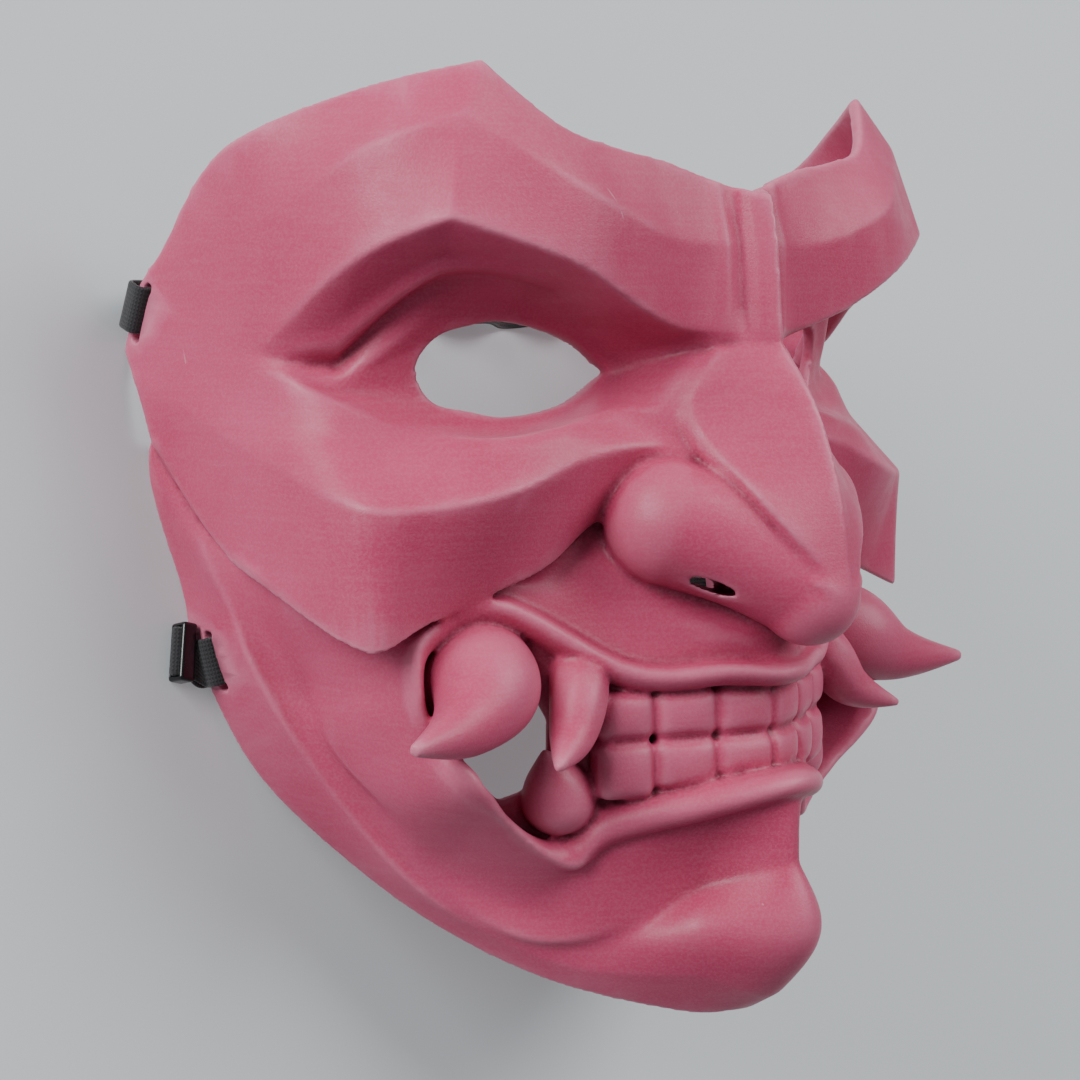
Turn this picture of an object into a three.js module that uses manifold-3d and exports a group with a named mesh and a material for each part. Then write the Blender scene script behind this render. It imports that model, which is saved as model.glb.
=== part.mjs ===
// A samurai face mask with brow horns, cheek guards, a hooked nose, bared teeth and tusks.
// One moulded shell, open at the back, with two black elastic straps through slots in its side rims.
// It is drawn in a face frame in millimetres: X across the face, Y up the face, Z out of the face,
// with the origin at the bridge of the nose. The finished mask lies face up on its side rims.

import * as THREE from 'three';
import { mergeVertices } from 'three/addons/utils/BufferGeometryUtils.js';
import Module from 'manifold-3d';

const wasm = await Module();
wasm.setup();

// Driving dimensions in millimetres and degrees
const shellWall = 3.2;
const noseHollow = 5;
const restTilt = 12.5;
const restTrim = 0.8;
const browGroove = { inside: 4.2, bottom: 6.6, outside: 9.4, depth: 2.2 };
const lipRise = 1.05;
const teeth = { depth: 9.5, gap: 0.6, rounding: 1.8, top: -78.5, bite: -90, middleBottom: -99.5, sideBottom: -104.5 };
const toothArch = [[0, -1.8], [14.9, -6.4], [28.8, -13.4], [40.8, -19.4]];
const strapSlot = { length: 14.5, width: 2.8 };
const strap = { width: 11.5, thickness: 1.4, clearance: 0.3, waves: 3 };
const strapWaves = { upper: 7, lower: 6 };
const lowerRimLift = 1.85;
const slider = { length: 4.2, width: 14, height: 5.4, corner: 1.1 };
const sliderTab = { turn: 15, forwards: 1.5, place: 6.15, lift: 0.95, end: 8.1 };
const upperStrapShift = 0.7;

// Lines of the brow, eye sockets and cheek guards, from the top rim down.
// Each runs from the midline to the side rim; corners are the places where it turns sharply.
const upperLines = [
  { name: 'top rim', corners: [5], points: [
    [0, 34.5, -4], [9.5, 37.6, -12.2], [24, 41.7, -15.2], [39, 44.3, -17], [54, 48.7, -20],
    [67.5, 62.5, -30.5], [84.6, 56.5, -51], [98.5, 47.5, -71.5], [98, 39, -90], [95.5, 20, -109]] },
  { name: 'brow crest', corners: [5], points: [
    [0, 22.5, -2], [10.5, 23, -9], [25.5, 23.6, -9.8], [40, 27.7, -9], [57, 35, -11.3],
    [77, 49.7, -26.2], [92.5, 42.5, -40.5], [98.5, 29, -64.5], [98.5, 23, -88], [97, 18, -111]] },
  { name: 'brow edge', corners: [5, 7], points: [
    [0, 1.5, -0.5], [12.5, 3, -9.5], [25, 4.2, -11.5], [41, 9.4, -9.8], [60, 18.2, -10.5],
    [85, 27.2, -22.1], [96, 18, -42], [97, 0, -70], [98, 5.5, -90.5], [97.5, 16, -112.5]] },
  { name: 'lid fold', corners: [6], points: [
    [0, 0, -2], [12.5, -1, -12], [22, 0, -22.5], [36, 6, -25.5], [53, 13.5, -30],
    [73, 14, -38.5], [89.5, -5.5, -53.5], [96.5, -1, -69], [98, 3.5, -92.5], [98, 12, -115]] },
  { name: 'upper eye edge', corners: [], points: [
    [0, -3, -2], [17.5, -5, -12.5], [22.5, -4.5, -33], [37, 2, -36], [54, 5.5, -38.5],
    [68, 2, -44], [89.3, -7, -53.5], [96.5, -2, -69], [98, 1, -93.5], [98, 7, -116.5]] },
  { name: 'lower eye edge', corners: [], points: [
    [0, -6, -2], [21, -9.5, -13.5], [24, -8.8, -33.5], [38, -14, -35], [55, -16, -37.5],
    [68, -12.5, -44.5], [89.8, -8.5, -53], [96.8, -3, -68.5], [98, -1, -95], [98, 2.5, -118.5]] },
  { name: 'lower lid', corners: [], points: [
    [0, -9, -2], [22, -14, -13.5], [32, -14.5, -23], [48, -17.5, -24], [64, -20, -29],
    [76, -18.5, -42.5], [91, -11.5, -54], [97, -5.5, -69], [98, -4, -96.5], [98, -1.5, -120]] },
  { name: 'cheek shelf', corners: [], points: [
    [0, -13, -1], [20.5, -20, -11], [34, -17, -22], [52, -20, -22], [66, -22.5, -27],
    [81.5, -22.5, -40.5], [94, -19, -53], [98.2, -14.5, -72], [98.3, -9, -98.5], [98, -4.5, -118.5]] },
  { name: 'cheek shelf edge', corners: [6], points: [
    [0, -20, 0], [20, -25, -8.5], [29.5, -22.5, -15], [46, -24.5, -18], [66.3, -31, -20.5],
    [85, -34.5, -29], [98, -33.5, -40.5], [99.8, -22.5, -72.5], [98.8, -13, -100], [98.5, -7, -116.5]] },
  { name: 'cheek guard edge', corners: [6], points: [
    [0, -50, -8], [23, -36, -20], [36.5, -40.5, -25.5], [52.5, -50, -26], [67, -56.5, -32.5],
    [81.5, -61.5, -35], [96, -66, -37.5], [98, -56, -65], [97.5, -46, -86], [97.5, -24, -110]] },
  { name: 'tuck under the cheek guard', corners: [], points: [
    [0, -46, -14], [22, -38, -25], [35, -40.5, -35], [50, -46.5, -40], [63, -50.5, -48],
    [76, -52, -57], [85, -50, -69], [90.5, -46, -80], [93, -39, -94], [94, -22, -109]] },
];
const upperSharp = [1, 2, 3, 7, 8, 9];
const upperColumns = [0, 0.38, 0.6, 0.82, 1, 1.5, 2, 2.5, 3, 3.5, 4, 4.5, 5, 5.5, 6, 6.5, 7, 7.5, 8, 9];
const upperRows = [0, 0.5, 1, 1.5, 2, 2.5, 3, 3.5, 4, 5, 6, 7, 8, 8.5, 9, 10];

// Rings of the mouth and jaw, from the line of the bite out to the rim.
// Each runs from the midline above the mouth, round its corner, to the midline below it.
const jawRings = [
  { name: 'bite', points: [
    [0, -90, -12], [15, -90, -16], [31, -89.5, -24.5], [47, -89, -34.5], [61, -88, -44],
    [70, -87, -47], [74.5, -86, -49], [70, -87, -47], [61, -88, -44],
    [47, -89, -34.5], [31, -89.5, -24.5], [15, -90, -16], [0, -90, -12]] },
  { name: 'lip inside', points: [
    [0, -79, 0.3], [14, -78, -4], [35, -77.5, -17], [59.5, -63, -33.5], [75, -67, -38.5],
    [78.5, -76.5, -38], [75.5, -86.5, -37], [71, -94.5, -31.5], [58.5, -106.5, -32],
    [43.5, -113.5, -30.5], [34, -106, -24.5], [19.5, -101, -8.5], [0, -98.7, 1.3]] },
  { name: 'lip outside', points: [
    [0, -73, 0.3], [15, -72.5, -6.5], [33.5, -71.5, -18], [59.5, -56, -33.5], [79, -64.5, -41.5],
    [83, -75, -41], [81, -86.5, -38.5], [77, -97.5, -30], [63.5, -107.5, -31],
    [42.5, -120.5, -29], [33.5, -114.5, -22], [18.5, -109.5, -9], [0, -105.3, 3.8]] },
  { name: 'hollow round the lips', points: [
    [0, -68, -1], [16, -65.5, -6], [37, -58.5, -22.5], [60.5, -52.5, -35], [84, -61, -49.5],
    [83, -81, -62.5], [80, -93, -63], [74, -105, -52.5], [60, -118.5, -49],
    [44, -129.5, -37.5], [32.5, -127.5, -23.5], [15.5, -118.5, -11.5], [0, -113, 4.4]] },
  { name: 'fold over the chin', points: [
    [0, -62, -1], [15, -59.5, -10], [37, -50.5, -24], [60.5, -52, -41], [90, -55.5, -63],
    [87, -78, -70], [83.5, -90.5, -73.5], [76, -106.5, -63.5], [61, -124.5, -53],
    [45, -137.5, -38], [30, -135, -23], [14, -126.5, -12.5], [0, -120.5, 4.6]] },
  { name: 'front of the chin', points: [
    [0, -59, -3], [15, -56, -11], [36.5, -47, -26], [61, -49.5, -44], [92, -48, -77],
    [90, -70.5, -78], [86, -84, -77], [78, -102, -68], [63.5, -123, -56],
    [48, -137, -43], [32.5, -140, -27.5], [20.5, -135, -8], [0, -137, 10]] },
  { name: 'jaw border', points: [
    [0, -55.5, -5], [15, -52.5, -12.5], [36, -43, -28.5], [61, -47, -47], [94, -41, -91],
    [92.5, -63, -86], [89, -77.5, -81], [80.5, -97, -73], [66, -122, -59.5],
    [51.5, -136, -48], [35, -145.5, -32], [17.5, -146.5, -9.5], [0, -153, -1.5]] },
  { name: 'jaw rim', points: [
    [0, -48, -7.5], [15, -45, -16], [35.5, -34, -33], [60, -32, -50], [94, -19, -110.5],
    [91, -60, -107.5], [89, -78.5, -102], [79.5, -102, -94.5], [66, -122, -79],
    [52.5, -138, -60.5], [35.5, -150.5, -39], [11.5, -158.5, -17.5], [0, -158, -10]] },
];
const jawSharp = [2, 6];
const chinFold = { ring: 4, from: 9.8, to: 11 };
const chinSides = { ray: 11, fromRing: 4, crispness: 0.6 };
const raySteps = 2;
const jawRows = [0, 1, 1.15, 1.5, 1.85, 2, 2.5, 3, 3.5, 4, 4.5, 5, 5.5, 6, 7];

// Sections of the nose from the bridge to the hooked tip: the flat back of the nose,
// the edge of its raised plate, the side below that edge, and the root buried in the face.
const noseSections = [
  { ridge: [0, 0.8, -1.2], edge: [12.5, -1, -9], side: [13.5, -1.6, -12.5], root: [9, -1, -24] },
  { ridge: [0, -6, 4.4], edge: [18, -7.5, -10], side: [19.2, -8.2, -13.5], root: [12, -7, -25] },
  { ridge: [0, -13, 9], edge: [21, -13.8, -10.5], side: [22.4, -14.6, -13.5], root: [15, -13, -26] },
  { ridge: [0, -20, 12.2], edge: [20.8, -20.5, -6.3], side: [22, -21.6, -9.3], root: [16, -20, -26] },
  { ridge: [0, -27, 14.6], edge: [19.6, -27.2, 0.4], side: [20.2, -29, -2], root: [16, -27, -25] },
  { ridge: [0, -34, 16.6], edge: [18, -34, 7.3], side: [16, -37, 3], root: [14, -34, -22] },
  { ridge: [0, -41.5, 17.8], edge: [13.8, -41.5, 13], side: [12, -44.5, 6], root: [12, -41, -18] },
  { ridge: [0, -49.5, 18.8], edge: [8.2, -49, 16.5], side: [8, -52, 9], root: [8, -48, -14] },
  { ridge: [0, -57.5, 19.6], edge: [4.4, -56.5, 18], side: [5, -59, 9], root: [5, -55, -10] },
  { ridge: [0, -62.5, 17.2], edge: [2.4, -62.2, 16], side: [3, -62, 8], root: [3, -60, -6] },
];
const noseCurl = { sides: 10, rings: 6,
  path: [[24, -40, -14.5], [16, -43.5, -7.5], [8, -49, 0], [0, -55.5, 6.5], [-4, -60, 9]],
  radii: [14.7, 14.4, 13.2, 12.3, 11] };
const curlEnd = { center: [24, -40, -14.5], radius: 14.8 };
const noseTip = { center: [0, -57, 7.6], radius: 12 };
const nostril = { from: [25, -53, -13], to: [11, -58.5, -3], radius: 2.4, height: 11 };

// Holes through the shell: the eyes follow their two lid lines, the mouth gap lies behind the tusks.
const eyeCorners = { inner: [22.2, -6.4, -34], outer: [71.5, -4.8, -48] };
const eyeAxis = [0.16, 0.05, 1];
const gapOutline = [[71, -88], [65, -97], [57, -104], [49, -102], [43, -96], [43, -86], [50, -76], [60, -80]];
const gapDepth = -35;
const gapAxis = [0.6, 0.05, 0.8];

// A small block fills the seam where the jaw wall meets the cheek guard inside
const seamBlock = { center: [62.5, -53.5, -42.3], radius: 6.5 };

// Tusks and fangs taper along a bent line; each has its radius at the root, the middle and the tip
const tusk = { sides: 10, rings: 7, path: [[60, -74, -46], [66.5, -75.8, -31.5], [80, -81.8, -24.5], [100, -83.8, -18.5]],
  radii: [12.5, 12.8, 7.2, 1.4] };
const fang = { sides: 7, rings: 6, path: [[41, -71, -27], [46, -79, -21.8], [52, -87, -18.3], [63.3, -91.7, -11.9]],
  radii: [6.6, 6.8, 5.2, 0.9] };
const roundTooth = { center: [43, -103.5, -31], tip: [49.5, -91, -29.5], radius: 8.8 };

// Strap slots: a point on the rim, the direction of the rim there, and the width of rim left beside the slot
const slots = {
  upper: { rim: [98, 8.6, -116.1], along: [0, -0.928, -0.372], strip: 2.4 },
  lower: { rim: [89.4, -75, -103], along: [-0.103, -0.971, 0.215], strip: 3.8 },
};

const maskPink = new THREE.MeshStandardMaterial({ color: 0xb55a73, roughness: 0.45, metalness: 0 });
const elasticBlack = new THREE.MeshStandardMaterial({ color: 0x17181b, roughness: 0.9, metalness: 0 });
const sliderBlack = new THREE.MeshStandardMaterial({ color: 0x0d0e10, roughness: 0.25, metalness: 0 });

const vector = (p) => new THREE.Vector3(p[0], p[1], p[2]);
const mirrored = (v) => new THREE.Vector3(-v.x, v.y, v.z);

// A smooth curve through points, read at a station counted in points; it breaks at its corners
function pointOnLine(points, station, corners = []) {
  const span = Math.min(Math.floor(station), points.length - 2);
  const t = station - span;
  const start = points[span];
  const end = points[span + 1];
  const chord = end.clone().sub(start);
  const hasBefore = span > 0 && !corners.includes(span);
  const hasAfter = span + 2 < points.length && !corners.includes(span + 1);
  let leave = hasBefore ? end.clone().sub(points[span - 1]).multiplyScalar(0.5) : null;
  let arrive = hasAfter ? points[span + 2].clone().sub(start).multiplyScalar(0.5) : null;
  if (!leave && !arrive) {
    leave = chord.clone();
    arrive = chord.clone();
  } else if (!leave) {
    leave = chord.clone().multiplyScalar(3).sub(arrive).multiplyScalar(0.5);
  } else if (!arrive) {
    arrive = chord.clone().multiplyScalar(3).sub(leave).multiplyScalar(0.5);
  }
  const t2 = t * t;
  const t3 = t2 * t;
  return start.clone().multiplyScalar(2 * t3 - 3 * t2 + 1)
    .addScaledVector(leave, t3 - 2 * t2 + t)
    .addScaledVector(end, -2 * t3 + 3 * t2)
    .addScaledVector(arrive, t3 - t2);
}

function bump(value, low, middle, high) {
  if (value <= low || value >= high) return 0;
  return value < middle ? (value - low) / (middle - low) : (high - value) / (high - middle);
}

function upperPoint(column, row) {
  const down = upperLines.map((line) => pointOnLine(line.points.map(vector), column, line.corners));
  const point = pointOnLine(down, row, upperSharp);
  if (row <= 2) {
    const groove = bump(point.x, browGroove.inside, browGroove.bottom, browGroove.outside);
    point.z -= browGroove.depth * groove;
  }
  return point;
}

// A half ring with one mirrored point beyond each end, so it crosses the middle of the face without a corner
function acrossMiddle(points) {
  return [mirrored(points[1]), ...points, mirrored(points[points.length - 2])];
}

// Between the two lip lines the surface swells into a roll, half as high as the lip is wide.
// The fold over the chin is sharp in the middle and softens towards the sides, and the flat
// front of the chin is bounded by a fairly crisp edge on each side.
function jawPoint(ray, row) {
  const ring = (k, at) => {
    const points = acrossMiddle(jawRings[k].points.map(vector));
    const soft = pointOnLine(points, at + 1);
    if (k < chinSides.fromRing) return soft;
    return soft.lerp(pointOnLine(points, at + 1, [chinSides.ray + 1]), chinSides.crispness);
  };
  const out = jawRings.map((line, k) => ring(k, ray));
  const point = pointOnLine(out, row, jawSharp);
  const fold = THREE.MathUtils.smoothstep(ray, chinFold.from, chinFold.to);
  if (fold > 0) point.lerp(pointOnLine(out, row, [...jawSharp, chinFold.ring]), fold);
  if (row > 1 && row < 2) {
    const width = out[2].clone().sub(out[1]);
    const step = 0.02;
    const along = ring(1, ray + step).sub(ring(1, ray - step));
    const swell = Math.sqrt(1 - (2 * row - 3) ** 2) * lipRise * 0.5 * width.length();
    point.addScaledVector(along.cross(width).normalize(), swell);
  }
  return point;
}

function gridNormals(rows, closed, side, slitPartner) {
  const across = rows[0].length;
  const wrap = (c) => (closed ? (c + across) % across : Math.max(0, Math.min(across - 1, c)));
  const clampRow = (r) => Math.max(0, Math.min(rows.length - 1, r));
  let normals = rows.map((row, r) => row.map((point, c) => {
    const over = rows[r][wrap(c + 1)].clone().sub(rows[r][wrap(c - 1)]);
    const down = rows[clampRow(r + 1)][c].clone().sub(rows[clampRow(r - 1)][c]);
    return down.cross(over).multiplyScalar(side).normalize();
  }));
  const smoothings = 4;
  for (let pass = 0; pass < smoothings; pass += 1) {
    normals = normals.map((row, r) => row.map((normal, c) => normal.clone().multiplyScalar(2)
      .add(normals[r][wrap(c + 1)]).add(normals[r][wrap(c - 1)])
      .add(normals[clampRow(r + 1)][c]).add(normals[clampRow(r - 1)][c]).normalize()));
    if (slitPartner) {
      normals[0] = normals[0].map((normal, c) => normal.clone().add(normals[0][slitPartner(c)]).normalize());
    }
  }
  return normals;
}

// A wall of even thickness behind a grid of surface points; the back of the wall has fewer points
function shellGeometry(rows, wall, closed, side, slitPartner, innerRows, innerColumns) {
  const across = rows[0].length;
  const normals = gridNormals(rows, closed, side, slitPartner);
  const points = rows.flat();
  const outer = (r, c) => r * across + (c % across);
  const start = points.length;
  for (const r of innerRows) {
    for (const c of innerColumns) points.push(rows[r][c].clone().addScaledVector(normals[r][c], -wall));
  }
  const inner = (r, c) => start + r * innerColumns.length + (c % innerColumns.length);
  const index = [];
  const quad = (a, b, c, d) => index.push(a, b, c, a, c, d);
  const last = closed ? across : across - 1;
  for (let r = 0; r < rows.length - 1; r += 1) {
    for (let c = 0; c < last; c += 1) quad(outer(r, c), outer(r + 1, c), outer(r + 1, c + 1), outer(r, c + 1));
  }
  const innerLast = closed ? innerColumns.length : innerColumns.length - 1;
  for (let r = 0; r < innerRows.length - 1; r += 1) {
    for (let c = 0; c < innerLast; c += 1) quad(inner(r, c), inner(r, c + 1), inner(r + 1, c + 1), inner(r + 1, c));
  }
  const strip = (fromOuter, toOuter, innerA, innerB, place, flip) => {
    const turn = (a, b, c) => (flip ? index.push(a, c, b) : index.push(a, b, c));
    for (let k = fromOuter; k < toOuter; k += 1) turn(innerA, place(k), place(k + 1));
    turn(innerA, place(toOuter), innerB);
  };
  const bottom = rows.length - 1;
  const innerBottom = innerRows.length - 1;
  for (let c = 0; c < innerLast; c += 1) {
    const from = innerColumns[c];
    const to = c + 1 < innerColumns.length ? innerColumns[c + 1] : across;
    if (!slitPartner) strip(from, to, inner(0, c), inner(0, c + 1), (k) => outer(0, k), false);
    strip(from, to, inner(innerBottom, c), inner(innerBottom, c + 1), (k) => outer(bottom, k), true);
  }
  if (!closed) {
    for (let r = 0; r < innerRows.length - 1; r += 1) {
      strip(innerRows[r], innerRows[r + 1], inner(r, 0), inner(r + 1, 0), (k) => outer(k, 0), true);
      strip(innerRows[r], innerRows[r + 1], inner(r, innerLast), inner(r + 1, innerLast),
        (k) => outer(k, last), false);
    }
  }
  return meshGeometry(points, index);
}

function meshGeometry(points, index) {
  const geometry = new THREE.BufferGeometry();
  geometry.setAttribute('position', new THREE.Float32BufferAttribute(points.flatMap((p) => [p.x, p.y, p.z]), 3));
  geometry.setIndex(index);
  return geometry;
}

// Rings of points joined into a closed tube with a cap at each end
function loftGeometry(rings) {
  const around = rings[0].length;
  const points = rings.flat();
  const index = [];
  for (let r = 0; r < rings.length - 1; r += 1) {
    for (let c = 0; c < around; c += 1) {
      const a = r * around + c;
      const b = r * around + ((c + 1) % around);
      index.push(a, b, b + around, a, b + around, a + around);
    }
  }
  for (const [ring, flip] of [[0, true], [rings.length - 1, false]]) {
    const middle = rings[ring].reduce((sum, p) => sum.add(p), new THREE.Vector3()).divideScalar(around);
    points.push(middle);
    for (let c = 0; c < around; c += 1) {
      const a = ring * around + c;
      const b = ring * around + ((c + 1) % around);
      if (flip) index.push(points.length - 1, b, a);
      else index.push(points.length - 1, a, b);
    }
  }
  return meshGeometry(points, index);
}

function solidFrom(geometry) {
  const bare = geometry.clone();
  bare.deleteAttribute('normal');
  bare.deleteAttribute('uv');
  const merged = mergeVertices(bare, 1e-4);
  const position = merged.getAttribute('position');
  const source = merged.getIndex().array;
  const triangles = [];
  let volume = 0;
  for (let i = 0; i < source.length; i += 3) {
    const [a, b, c] = [source[i], source[i + 1], source[i + 2]];
    if (a === b || b === c || c === a) continue;
    triangles.push(a, b, c);
    const [p, q, r] = [a, b, c].map((k) => new THREE.Vector3().fromBufferAttribute(position, k));
    volume += p.dot(q.cross(r));
  }
  if (volume < 0) {
    for (let i = 0; i < triangles.length; i += 3) {
      [triangles[i + 1], triangles[i + 2]] = [triangles[i + 2], triangles[i + 1]];
    }
  }
  return new wasm.Manifold(new wasm.Mesh({
    numProp: 3,
    vertProperties: new Float32Array(position.array),
    triVerts: new Uint32Array(triangles),
  }));
}

function geometryFrom(solid) {
  const mesh = solid.getMesh();
  const geometry = new THREE.BufferGeometry();
  geometry.setAttribute('position', new THREE.BufferAttribute(new Float32Array(mesh.vertProperties), 3));
  geometry.setIndex(new THREE.BufferAttribute(new Uint32Array(mesh.triVerts), 1));
  return geometry;
}

function bothSides(makeGeometry) {
  const geometry = makeGeometry();
  const other = geometry.clone().applyMatrix4(new THREE.Matrix4().makeScale(-1, 1, 1));
  return [solidFrom(geometry), solidFrom(other)];
}

// A straight prism on a closed outline, reaching both ways along its axis
function prismGeometry(outline, axis, forward, backward) {
  const direction = vector(axis).normalize();
  const shift = (distance) => outline.map((p) => p.clone().addScaledVector(direction, distance));
  return loftGeometry([shift(-backward), shift(forward)]);
}

// A tapering horn along a bent line
function hornGeometry(horn) {
  const path = horn.path.map(vector);
  const radii = horn.radii.map((radius) => new THREE.Vector3(radius, 0, 0));
  const spans = path.length - 1;
  const rings = [];
  for (let i = 0; i <= horn.rings; i += 1) {
    const station = (spans * i) / horn.rings;
    const step = 0.01;
    const ahead = pointOnLine(path, Math.min(spans, station + step));
    const tangent = ahead.sub(pointOnLine(path, Math.max(0, station - step))).normalize();
    const sideways = new THREE.Vector3(0, 1, 0).cross(tangent).normalize();
    const upwards = tangent.clone().cross(sideways);
    const center = pointOnLine(path, station);
    const radius = pointOnLine(radii, station).x;
    rings.push(Array.from({ length: horn.sides }, (_, k) => {
      const angle = (2 * Math.PI * k) / horn.sides;
      return center.clone().addScaledVector(sideways, radius * Math.cos(angle))
        .addScaledVector(upwards, radius * Math.sin(angle));
    }));
  }
  return loftGeometry(rings);
}

function upperShell() {
  const rows = upperRows.map((row) => {
    const half = upperColumns.map((column) => upperPoint(column, row));
    return [...half.slice(1).reverse().map(mirrored), ...half];
  });
  const middle = upperColumns.length - 1;
  const coarse = [1, 2, 3, 4, 5, 5.5, 6, 7, 8, 9].map((column) => upperColumns.indexOf(column));
  const innerColumns = [...coarse.slice().reverse().map((k) => middle - k), middle, ...coarse.map((k) => middle + k)];
  const innerRows = [0, 1, 2, 2.5, 3, 4, 5, 6, 7, 8, 9, 10].map((row) => upperRows.indexOf(row));
  return solidFrom(shellGeometry(rows, shellWall, false, 1, null, innerRows, innerColumns));
}

function jawShell() {
  const halfColumns = (jawRings[0].points.length - 1) * raySteps;
  const rows = jawRows.map((row) => {
    const half = Array.from({ length: halfColumns + 1 }, (_, c) => jawPoint(c / raySteps, row));
    return [...half, ...half.slice(1, -1).reverse().map(mirrored)];
  });
  const around = 2 * halfColumns;
  const slitPartner = (c) => (halfColumns - c + around) % around;
  const innerRows = [0, 1, 2, 3, 4, 5, 6, 7].map((row) => jawRows.indexOf(row));
  const innerColumns = Array.from({ length: around / 2 }, (_, k) => 2 * k);
  return solidFrom(shellGeometry(rows, shellWall, true, -1, slitPartner, innerRows, innerColumns));
}

function noseRing(section, inset) {
  const narrow = (p) => Math.max(0.4, p[0] - inset);
  const [ridge, edge, side, root] = [section.ridge, section.edge, section.side, section.root];
  const half = [
    new THREE.Vector3(narrow(edge), edge[1], edge[2] - inset * 0.7),
    new THREE.Vector3(narrow(side), side[1], side[2] - inset * 0.7),
    new THREE.Vector3(narrow(root), root[1], root[2] - inset * 3),
  ];
  const top = new THREE.Vector3(0, ridge[1], ridge[2] - inset * 1.3);
  return [...half.slice().reverse().map(mirrored), top, ...half];
}

function noseGeometry(first, last, inset) {
  return loftGeometry(noseSections.slice(first, last + 1).map((section) => noseRing(section, inset)));
}

function ballGeometry(ball) {
  const round = new THREE.SphereGeometry(ball.radius, 12, 8);
  round.translate(...ball.center);
  return round;
}

function nostrilGeometry() {
  const from = vector(nostril.from);
  const to = vector(nostril.to);
  const middle = from.clone().add(to).multiplyScalar(0.5);
  const hole = new THREE.SphereGeometry(1, 12, 8);
  hole.scale(from.distanceTo(to) / 2, nostril.radius, nostril.height);
  const along = to.clone().sub(from).normalize();
  const upwards = new THREE.Vector3(0, 1, 0).addScaledVector(along, -along.y).normalize();
  const basis = new THREE.Matrix4().makeBasis(along, along.clone().cross(upwards).cross(along).negate(),
    along.clone().cross(upwards).negate());
  hole.applyMatrix4(basis);
  hole.translate(middle.x, middle.y, middle.z);
  return hole;
}

// A block with its front edges cut back, centred on its back-to-front middle
function toothBlock(width, height) {
  const cut = teeth.rounding;
  const ring = (inset, z) => {
    const x = width / 2 - inset;
    const y = height / 2 - inset;
    const corner = cut * 0.6;
    return [[x, -y + corner], [x, y - corner], [x - corner, y], [-x + corner, y], [-x, y - corner],
      [-x, -y + corner], [-x + corner, -y], [x - corner, -y]].map(([a, b]) => new THREE.Vector3(a, b, z));
  };
  const front = teeth.depth / 2;
  return loftGeometry([ring(0, -front), ring(0, front - cut), ring(cut * 0.8, front)]);
}

function toothGeometries() {
  const blocks = [];
  for (let i = 0; i < toothArch.length - 1; i += 1) {
    const [x0, z0] = toothArch[i];
    const [x1, z1] = toothArch[i + 1];
    const width = Math.hypot(x1 - x0, z1 - z0) - teeth.gap;
    const turn = Math.atan2(z0 - z1, x1 - x0);
    const share = (i + 0.5) / (toothArch.length - 1);
    const bottom = THREE.MathUtils.lerp(teeth.middleBottom, teeth.sideBottom, share);
    for (const [low, high] of [[teeth.bite, teeth.top], [bottom, teeth.bite]]) {
      blocks.push(() => {
        const block = toothBlock(width, high - low - teeth.gap);
        block.translate(0, (low + high) / 2, -teeth.depth / 2);
        block.rotateY(turn);
        block.translate((x0 + x1) / 2, 0, (z0 + z1) / 2);
        return block;
      });
    }
  }
  return blocks;
}

function roundToothGeometry() {
  const r = roundTooth.radius;
  const center = vector(roundTooth.center);
  const lift = vector(roundTooth.tip).sub(center);
  const reach = lift.length();
  const profile = [[0, -r], [0.7 * r, -0.72 * r], [r, -0.1 * r], [0.8 * r, 0.55 * r], [0.36 * r, 0.72 * reach],
    [0, reach]];
  const tooth = new THREE.LatheGeometry(profile.map(([x, y]) => new THREE.Vector2(x, y)), 10);
  tooth.applyQuaternion(new THREE.Quaternion().setFromUnitVectors(new THREE.Vector3(0, 1, 0), lift.normalize()));
  tooth.translate(center.x, center.y, center.z);
  return tooth;
}

function eyeGeometry() {
  const lid = (line) => [2, 2.5, 3, 3.5, 4, 4.5, 5].map((c) => pointOnLine(upperLines[line].points.map(vector), c));
  const outline = [vector(eyeCorners.inner), ...lid(4), vector(eyeCorners.outer), ...lid(5).reverse()];
  return prismGeometry(outline, eyeAxis, 22, 22);
}

function gapGeometry() {
  const outline = gapOutline.map(([x, y]) => new THREE.Vector3(x, y, gapDepth));
  return prismGeometry(outline, gapAxis, 26, 30);
}

function maskSolid() {
  let jaw = jawShell();
  for (const gap of bothSides(gapGeometry)) jaw = jaw.subtract(gap);
  let mask = upperShell();
  for (const eye of bothSides(eyeGeometry)) mask = mask.subtract(eye);
  mask = mask.add(jaw);
  mask = mask.add(solidFrom(noseGeometry(0, noseSections.length - 1, 0)));
  for (const make of [() => hornGeometry(noseCurl), () => ballGeometry(curlEnd)]) {
    for (const side of bothSides(make)) mask = mask.add(side);
  }
  mask = mask.add(solidFrom(ballGeometry(noseTip)));
  mask = mask.subtract(solidFrom(noseGeometry(1, noseSections.length - 3, noseHollow)));
  for (const hole of bothSides(nostrilGeometry)) mask = mask.subtract(hole);
  for (const block of toothGeometries()) {
    for (const tooth of bothSides(block)) mask = mask.add(tooth);
  }
  for (const make of [() => hornGeometry(tusk), () => hornGeometry(fang), roundToothGeometry]) {
    for (const tooth of bothSides(make)) mask = mask.add(tooth);
  }
  for (const block of bothSides(seamBlockGeometry)) mask = mask.add(block);
  return mask;
}

function boxSolid(low, high) {
  const box = new THREE.BoxGeometry(high[0] - low[0], high[1] - low[1], high[2] - low[2]);
  box.translate((low[0] + high[0]) / 2, (low[1] + high[1]) / 2, (low[2] + high[2]) / 2);
  return solidFrom(box);
}

function seamBlockGeometry() {
  const block = new THREE.OctahedronGeometry(seamBlock.radius);
  block.translate(...seamBlock.center);
  return block;
}

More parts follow.
